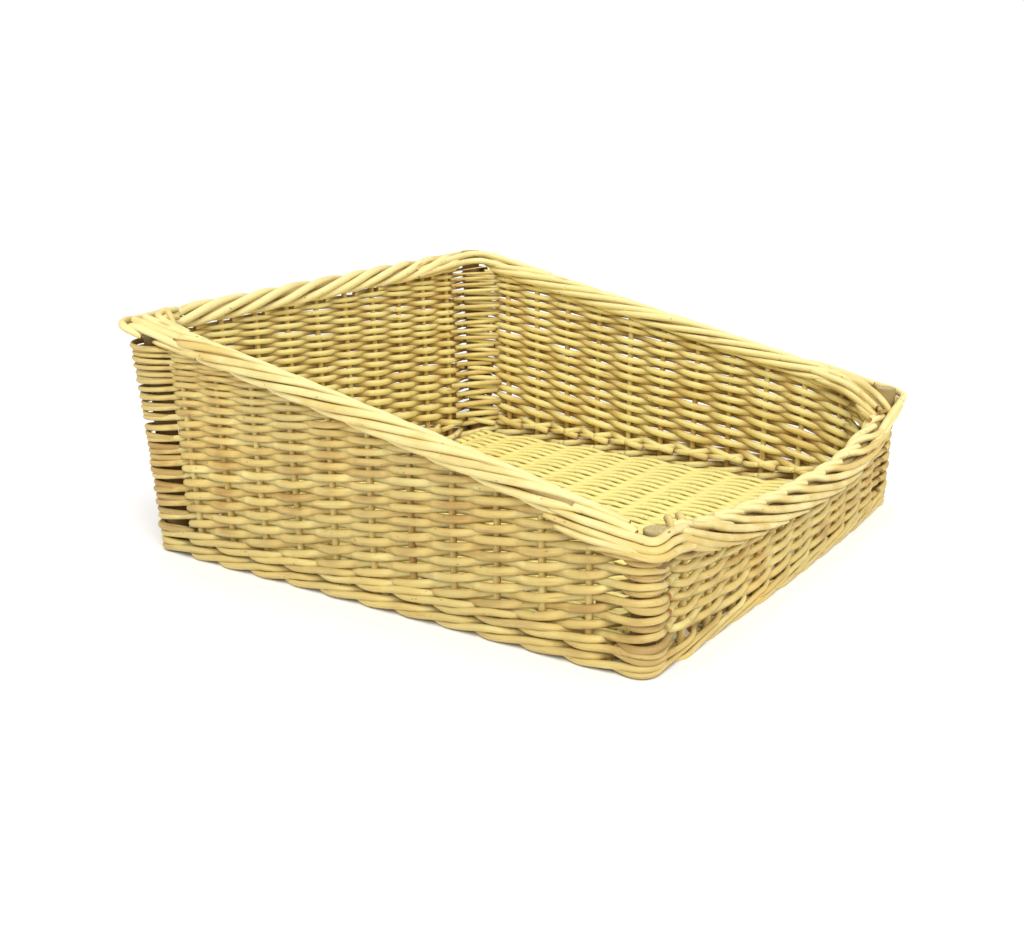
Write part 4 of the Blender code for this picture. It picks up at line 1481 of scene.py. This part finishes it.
@dataclass
class Uprights:
    """The 42 stakes and the four posts.

    tops_mm gives how far each post's top lies below its CAD node's, and how far it leans in x and y.
    foot_rings and top_rings are distances of a post's closing rings from its two ends, swells the height
    and the rate of its swellings.
    """

    foot: float = 0.003
    sink: float = 0.004
    stations: int = 24
    wave: float = 0.0005
    wave_rate: Pair = (25.0, 50.0)
    phase: Pair = (0.0, 6.0)
    taper: Pair = (1.02, 0.94)
    stake_tone: Pair = (0.1, 0.7)
    stake_shade: float = 0.22
    post_sides: int = 28
    post_share: float = 0.97
    post_rings: int = 60
    foot_rings: Pair = (0.0004, 0.001)
    top_rings: Pair = (0.0016, 0.0006)
    swells: tuple[Pair, ...] = ((0.025, 60.0), (0.012, 170.0))
    bevel: Pair = (0.94, 0.90)
    post_tone: Pair = (0.0, 0.3)
    post_shade: Pair = (0.75, 0.45)
    post_outer: float = 0.8
    shade_fade_top: Pair = (0.02, 0.015)
    tops_mm: dict[str, Triple] = field(
        default_factory=lambda: {
            "post_back_left": (7.0, 0.0, 0.0),
            "post_front_left": (4.2, 0.5, -7.0),
            "post_front_right": (-1.0, 1.5, -4.5),
            "post_back_right": (0.0, 0.5, 5.0),
        }
    )

    def stake(self, place: int, random: Random) -> Bundle:
        """One stake, slightly bent, from the lower wale into the border.

        Args:
            place: Place of the stake.
            random: Source of its bends.

        Returns:
            The stake's rod.
        """
        wall = int(WALLS.wall_of(np.array([place]))[0])
        index = place - int(WALLS.posts[wall])
        if wall in (0, 3):
            index = (WALLS.side_gaps, WALLS.end_gaps)[wall % 2] - index
        bundle = Bundle(f"stake_{('left', 'front', 'right', 'back')[wall]}_{index:02d}_rod")
        spot = np.array([float(place)])
        top = float(WALLS.rim(spot)[0]) - self.sink
        height = np.linspace(self.foot, top, self.stations)
        outward, travel = WALLS.directions()
        wave = np.sin(height * random.uniform(*self.wave_rate) + random.uniform(*self.phase)) * self.wave
        path = solid_path(WALLS.centre(spot) + wave[:, None] * travel[wall], height)
        radius = WALLS.stake_radius * np.linspace(*self.taper, self.stations)
        tone = float(random.uniform(*self.stake_tone))
        # Painted shade: stakes get a steady brown share, as they stand in shade between the weavers.
        bundle.add(path, radius, tone, self.stake_shade, 0.5, guide=(*outward[wall], 0.0))
        return bundle

    def post(self, node: str, random: Random) -> Bundle:
        """One corner post: a stick with low swellings and a sawn top.

        Args:
            node: The CAD node that it stands for.
            random: Source of its swellings.

        Returns:
            The post's rod.
        """
        low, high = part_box(node)
        bundle = Bundle(f"{node}_stick", sides=self.post_sides)
        x = math.copysign(WALLS.post_x, low.x)
        y = math.copysign(WALLS.post_y, low.y)
        lower, move_x, move_y = self.tops_mm[node]
        foot, top = low.z, high.z - lower * MM
        body = np.linspace(foot + self.foot_rings[1], top - self.top_rings[0], self.post_rings)
        height = np.concatenate([[foot, foot + self.foot_rings[0]], body, [top - self.top_rings[1], top]])
        climb = ease((height - foot) / (top - foot))[:, None] ** 2
        path = solid_path(np.array([x, y]) + climb * np.array([move_x, move_y]) * MM, height)
        swell = np.ones_like(height)
        for share, rate in self.swells:
            swell += share * np.sin(height * rate + random.uniform(*self.phase))
        radius = WALLS.post_radius * swell * self.post_share
        radius[[0, -1]] *= self.bevel
        # Painted shade: the post is browned where it stands between the wraps, less so near its top.
        dark, lighter = self.post_shade
        start, length = self.shade_fade_top
        shade = dark - lighter * ease((height - top + start) / length)
        tone = float(random.uniform(*self.post_tone))
        bundle.add(path, radius, tone, shade, self.post_outer, guide=(1.0, 0.0, 0.0))
        return bundle


# ---- base


@dataclass
class BaseMat:
    """Base: sticks across the width with thin weavers packed over and under them."""

    half: float = 0.203
    stick_edge: float = 0.198
    margin: float = 0.004
    middle: float = 0.0065
    stick_radius: float = 0.0024
    stick_rings: int = 30
    stick_tone: Pair = (0.2, 0.7)
    stick_shade: float = 0.5
    outer: float = 0.2
    weavers: int = 73
    overrun: float = 0.25
    limit: float = 1.05
    swing: float = 0.0018
    wide: float = 0.0030
    high_share: float = 0.62
    jitter: float = 0.0002
    drift: float = 0.00025
    swing_spread: float = 0.06
    tone: Pair = (0.70, 0.13)
    fat: Pair = (0.94, 1.04)
    shade: float = 0.12
    shade_range: Pair = (0.1, 1.1)
    groove: float = 0.14
    steps: int = 7
    seed: int = 41

    def stick_lines(self) -> Array:
        """Lines of the 13 sticks: one in line with each side stake, and one at each edge."""
        stakes = WALLS.post_y - 2 * WALLS.post_y * np.arange(1, WALLS.side_gaps) / WALLS.side_gaps
        return np.concatenate([[self.stick_edge], stakes, [-self.stick_edge]])

    def build(self) -> Bundle:
        """Lays the sticks and weaves the rods; a weaver's height is a Hermite wave over and under them.

        Returns:
            The mat's rods.
        """
        random = np.random.default_rng(self.seed)
        bundle = Bundle("woven_base_mat", sides=6)
        lines = self.stick_lines()
        x = np.linspace(-self.half, self.half, self.stick_rings)
        for y in lines:
            points = np.stack([x, np.full_like(x, y), np.full_like(x, self.middle)], -1)
            tone = float(random.uniform(*self.stick_tone))
            # Painted shade: the sticks, mostly hidden under the weavers, are browned.
            bundle.add(WALLS.lean(points), self.stick_radius, tone, self.stick_shade, self.outer)
        places = np.arange(len(lines), dtype=float)
        first, last = -self.overrun, len(lines) - 1 + self.overrun
        stations = np.linspace(first, last, int((last - first) * self.steps) + 1)
        dark, dark_range = self.shade_range
        y = np.interp(stations, places, lines)
        y[0], y[-1] = self.half, -self.half
        pitch = 2 * (self.half - self.margin) / (self.weavers - 1)
        for weaver in range(self.weavers):
            x = -self.half + self.margin + weaver * pitch + random.normal(0.0, self.jitter)
            over = np.where((places + weaver) % 2 == 0, 1.0, -1.0)
            wave = spline(over[:, None], np.zeros((len(lines), 1)), places, stations)[:, 0]
            wave = wave * (1 + self.swing_spread * random.normal())
            height = self.middle + self.swing * np.clip(wave, -self.limit, self.limit)
            drift = np.interp(stations, places, random.normal(0.0, self.drift, len(lines)))
            bundle.add(
                WALLS.lean(np.stack([x + drift, y, height], -1)),
                self.wide * random.uniform(*self.fat),
                drawn_tone(random, *self.tone),
                # Painted shade: a weaver browns where it dips under a stick and on its flanks, so the tops
                # facing up stay lighter.
                self.shade * ease((dark - wave) / dark_range),
                self.outer,
                height=self.high_share,
                away=UP,
                groove=self.groove,
            )
        return bundle


# ---- studio


@dataclass(frozen=True)
class Studio:
    """Camera at the photograph's viewing angle, a plain pale floor and soft light."""

    focal_px: float = 1338.109
    width_px: int = 1024
    sensor: float = 36.0
    yaw: float = 0.59647
    pitch: float = 0.29177
    roll: float = -0.00613
    place: Triple = (-0.91412517, -0.59381273, 0.37828692)
    sky_levels: tuple[Pair, ...] = ((0.0, 1.15), (0.05, 1.15), (0.10, 0.60), (1.0, 0.96))
    sky_strength: float = 0.92
    sun_strength: float = 1.85
    sun_angle: float = 0.7
    sun_from: Triple = (-0.80, -0.78, 1.25)
    key_power: float = 5.0
    key_size: float = 1.4
    key_place: Triple = (-1.3, -0.7, 1.7)
    aim: Triple = (0.0, 0.0, 0.08)
    floor_reach: float = 60.0
    floor_grey: float = 0.94
    floor_roughness: float = 0.9
    floor_gloss: float = 0.1
    near: float = 0.01

    def camera(self) -> None:
        """Sets the camera from its yaw, pitch and roll."""
        ahead, left = math.cos(self.yaw), math.sin(self.yaw)
        flat = math.cos(self.pitch)
        forward = Vector((flat * ahead, flat * left, -math.sin(self.pitch)))
        level = Vector((left, -ahead, 0.0))
        above = level.cross(forward)
        right = math.cos(self.roll) * level + math.sin(self.roll) * above
        up = -math.sin(self.roll) * level + math.cos(self.roll) * above
        data = bpy.data.cameras.new("camera")
        data.sensor_width = self.sensor
        data.lens = self.focal_px / self.width_px * self.sensor
        data.clip_start = self.near
        holder = linked("camera", data)
        turn = Matrix((right, up, -forward)).transposed().to_4x4()
        holder.matrix_world = Matrix.Translation(self.place) @ turn
        bpy.context.scene.camera = holder

    def key(self) -> None:
        """Hangs one soft square light that faces the basket."""
        data = bpy.data.lights.new("key", "AREA")
        data.size = self.key_size
        data.energy = self.key_power
        holder = linked("key", data)
        holder.location = self.key_place
        facing = Vector(self.aim) - Vector(self.key_place)
        holder.rotation_euler = facing.to_track_quat("-Z", "Y").to_euler()

    def sun(self) -> None:
        """Adds a wide soft sun, so that the floor is lit alike everywhere."""
        data = bpy.data.lights.new("overhead", "SUN")
        data.energy = self.sun_strength
        data.angle = self.sun_angle
        linked("overhead", data).rotation_euler = (-Vector(self.sun_from)).to_track_quat("-Z", "Y").to_euler()

    def sky(self) -> None:
        """Sets a white surround that is brightest overhead and, for the background, at the horizon."""
        world = bpy.data.worlds.new("studio")
        world.use_nodes = True
        tree = world.node_tree
        shade = tree.nodes["Background"]
        rise = node(tree, "SeparateXYZ", {"Vector": node(tree, "TexCoord", {}, "Generated")}, "Z")
        stops = [(place, (level, level, level)) for place, level in self.sky_levels]
        tree.links.new(ramp(tree, rise, stops), shade.inputs["Color"])
        shade.inputs["Strength"].default_value = self.sky_strength
        bpy.context.scene.world = world

    def floor(self) -> None:
        """Lays a wide, plain pale floor."""
        mesh = bpy.data.meshes.new("floor")
        far = self.floor_reach
        corners = [(-far, -far, 0.0), (far, -far, 0.0), (far, far, 0.0), (-far, far, 0.0)]
        mesh.from_pydata(corners, [], [(0, 1, 2, 3)])
        paint = bpy.data.materials.new("floor_paint")
        paint.use_nodes = True
        shader = paint.node_tree.nodes["Principled BSDF"]
        shader.inputs["Base Color"].default_value = (*[self.floor_grey] * 3, 1.0)
        shader.inputs["Roughness"].default_value = self.floor_roughness
        shader.inputs["Specular IOR Level"].default_value = self.floor_gloss
        mesh.materials.append(paint)
        linked("floor", mesh)

    def build(self) -> None:
        """Sets camera, lights, sky and floor."""
        self.camera()
        self.sun()
        self.key()
        self.sky()
        bpy.context.scene.view_settings.view_transform = "Standard"
        self.floor()


# ---- the whole


def main() -> None:
    """Builds the basket's pieces in order, then the studio."""
    logging.basicConfig(level=logging.INFO, format="%(name)s: %(message)s")
    weave_finish = Willow("weave_willow_skin").build()
    wale_finish = Willow("wale_willow_skin", lift=0.05).build()
    # The border's finish is lifted lighter: partly its paler skin, partly painted light for the rolls' upward
    # faces.
    border_finish = Willow(
        "border_willow_skin", green_share=0.20, pale=(0.89, 0.76, 0.34), lift=0.19
    ).build()
    stake_finish = Willow("stake_willow_skin", lift=-0.08).build()
    post_finish = Willow(
        "post_willow_skin",
        deep=(0.36, 0.26, 0.09),
        mid=(0.48, 0.37, 0.14),
        pale=(0.62, 0.51, 0.24),
        end_grain=(0.66, 0.54, 0.24),
        green_share=0.2,
    ).build()
    # The base's finish is lifted lighter: partly its own paler colour, partly painted light for the mat that
    # faces up.
    base_finish = Willow(
        "base_willow_skin", pale=(0.95, 0.84, 0.31), mid=(0.80, 0.62, 0.20), lift=0.07
    ).build()

    for wall, bundle in Randing().build().items():
        settle(bundle.build(), "weave_willow", weave_finish, wall.value[0])
    wale = Wale()
    for node, bundle in zip(wale.nodes, wale.build()):
        settle(bundle.build(), "wale_willow", wale_finish, node)
    left = Roll("border_left", 0.0, 12.0, 7.0, bow=0.002, outer_start=0.7, outer_end=1.1)
    right = Roll("border_right", 23.0, 35.0, 7.0, bow=0.0005, outer_start=0.8, outer_end=0.8, seed=6)
    back = Roll("border_back", 35.0, 46.0, 5.0, radius=0.0036, outer_start=0.6, outer_end=0.5, seed=7)
    rolls = ((left, (CORNER_A, CORNER_B)), (right, (CORNER_C, CORNER_D)), (back, ()))
    for roll, corners in rolls:
        bundle = roll.build()
        for corner in corners:
            corner.add_to(bundle)
        settle(bundle.build(), "border_willow", border_finish, roll.node)
    settle(Plait().build().build(), "border_willow", border_finish, "border_front")
    random = np.random.default_rng(3)
    uprights = Uprights()
    for place in range(WALLS.uprights):
        if place in WALLS.posts:
            continue
        bundle = uprights.stake(place, random)
        settle(bundle.build(), "stake_willow", stake_finish, bundle.name.removesuffix("_rod"))
    for node in uprights.tops_mm:
        settle(uprights.post(node, random).build(), "post_willow", post_finish, node)
    settle(BaseMat().build().build(), "base_willow", base_finish, "woven_base")

    Studio().build()


if __name__ == "__main__":
    main()
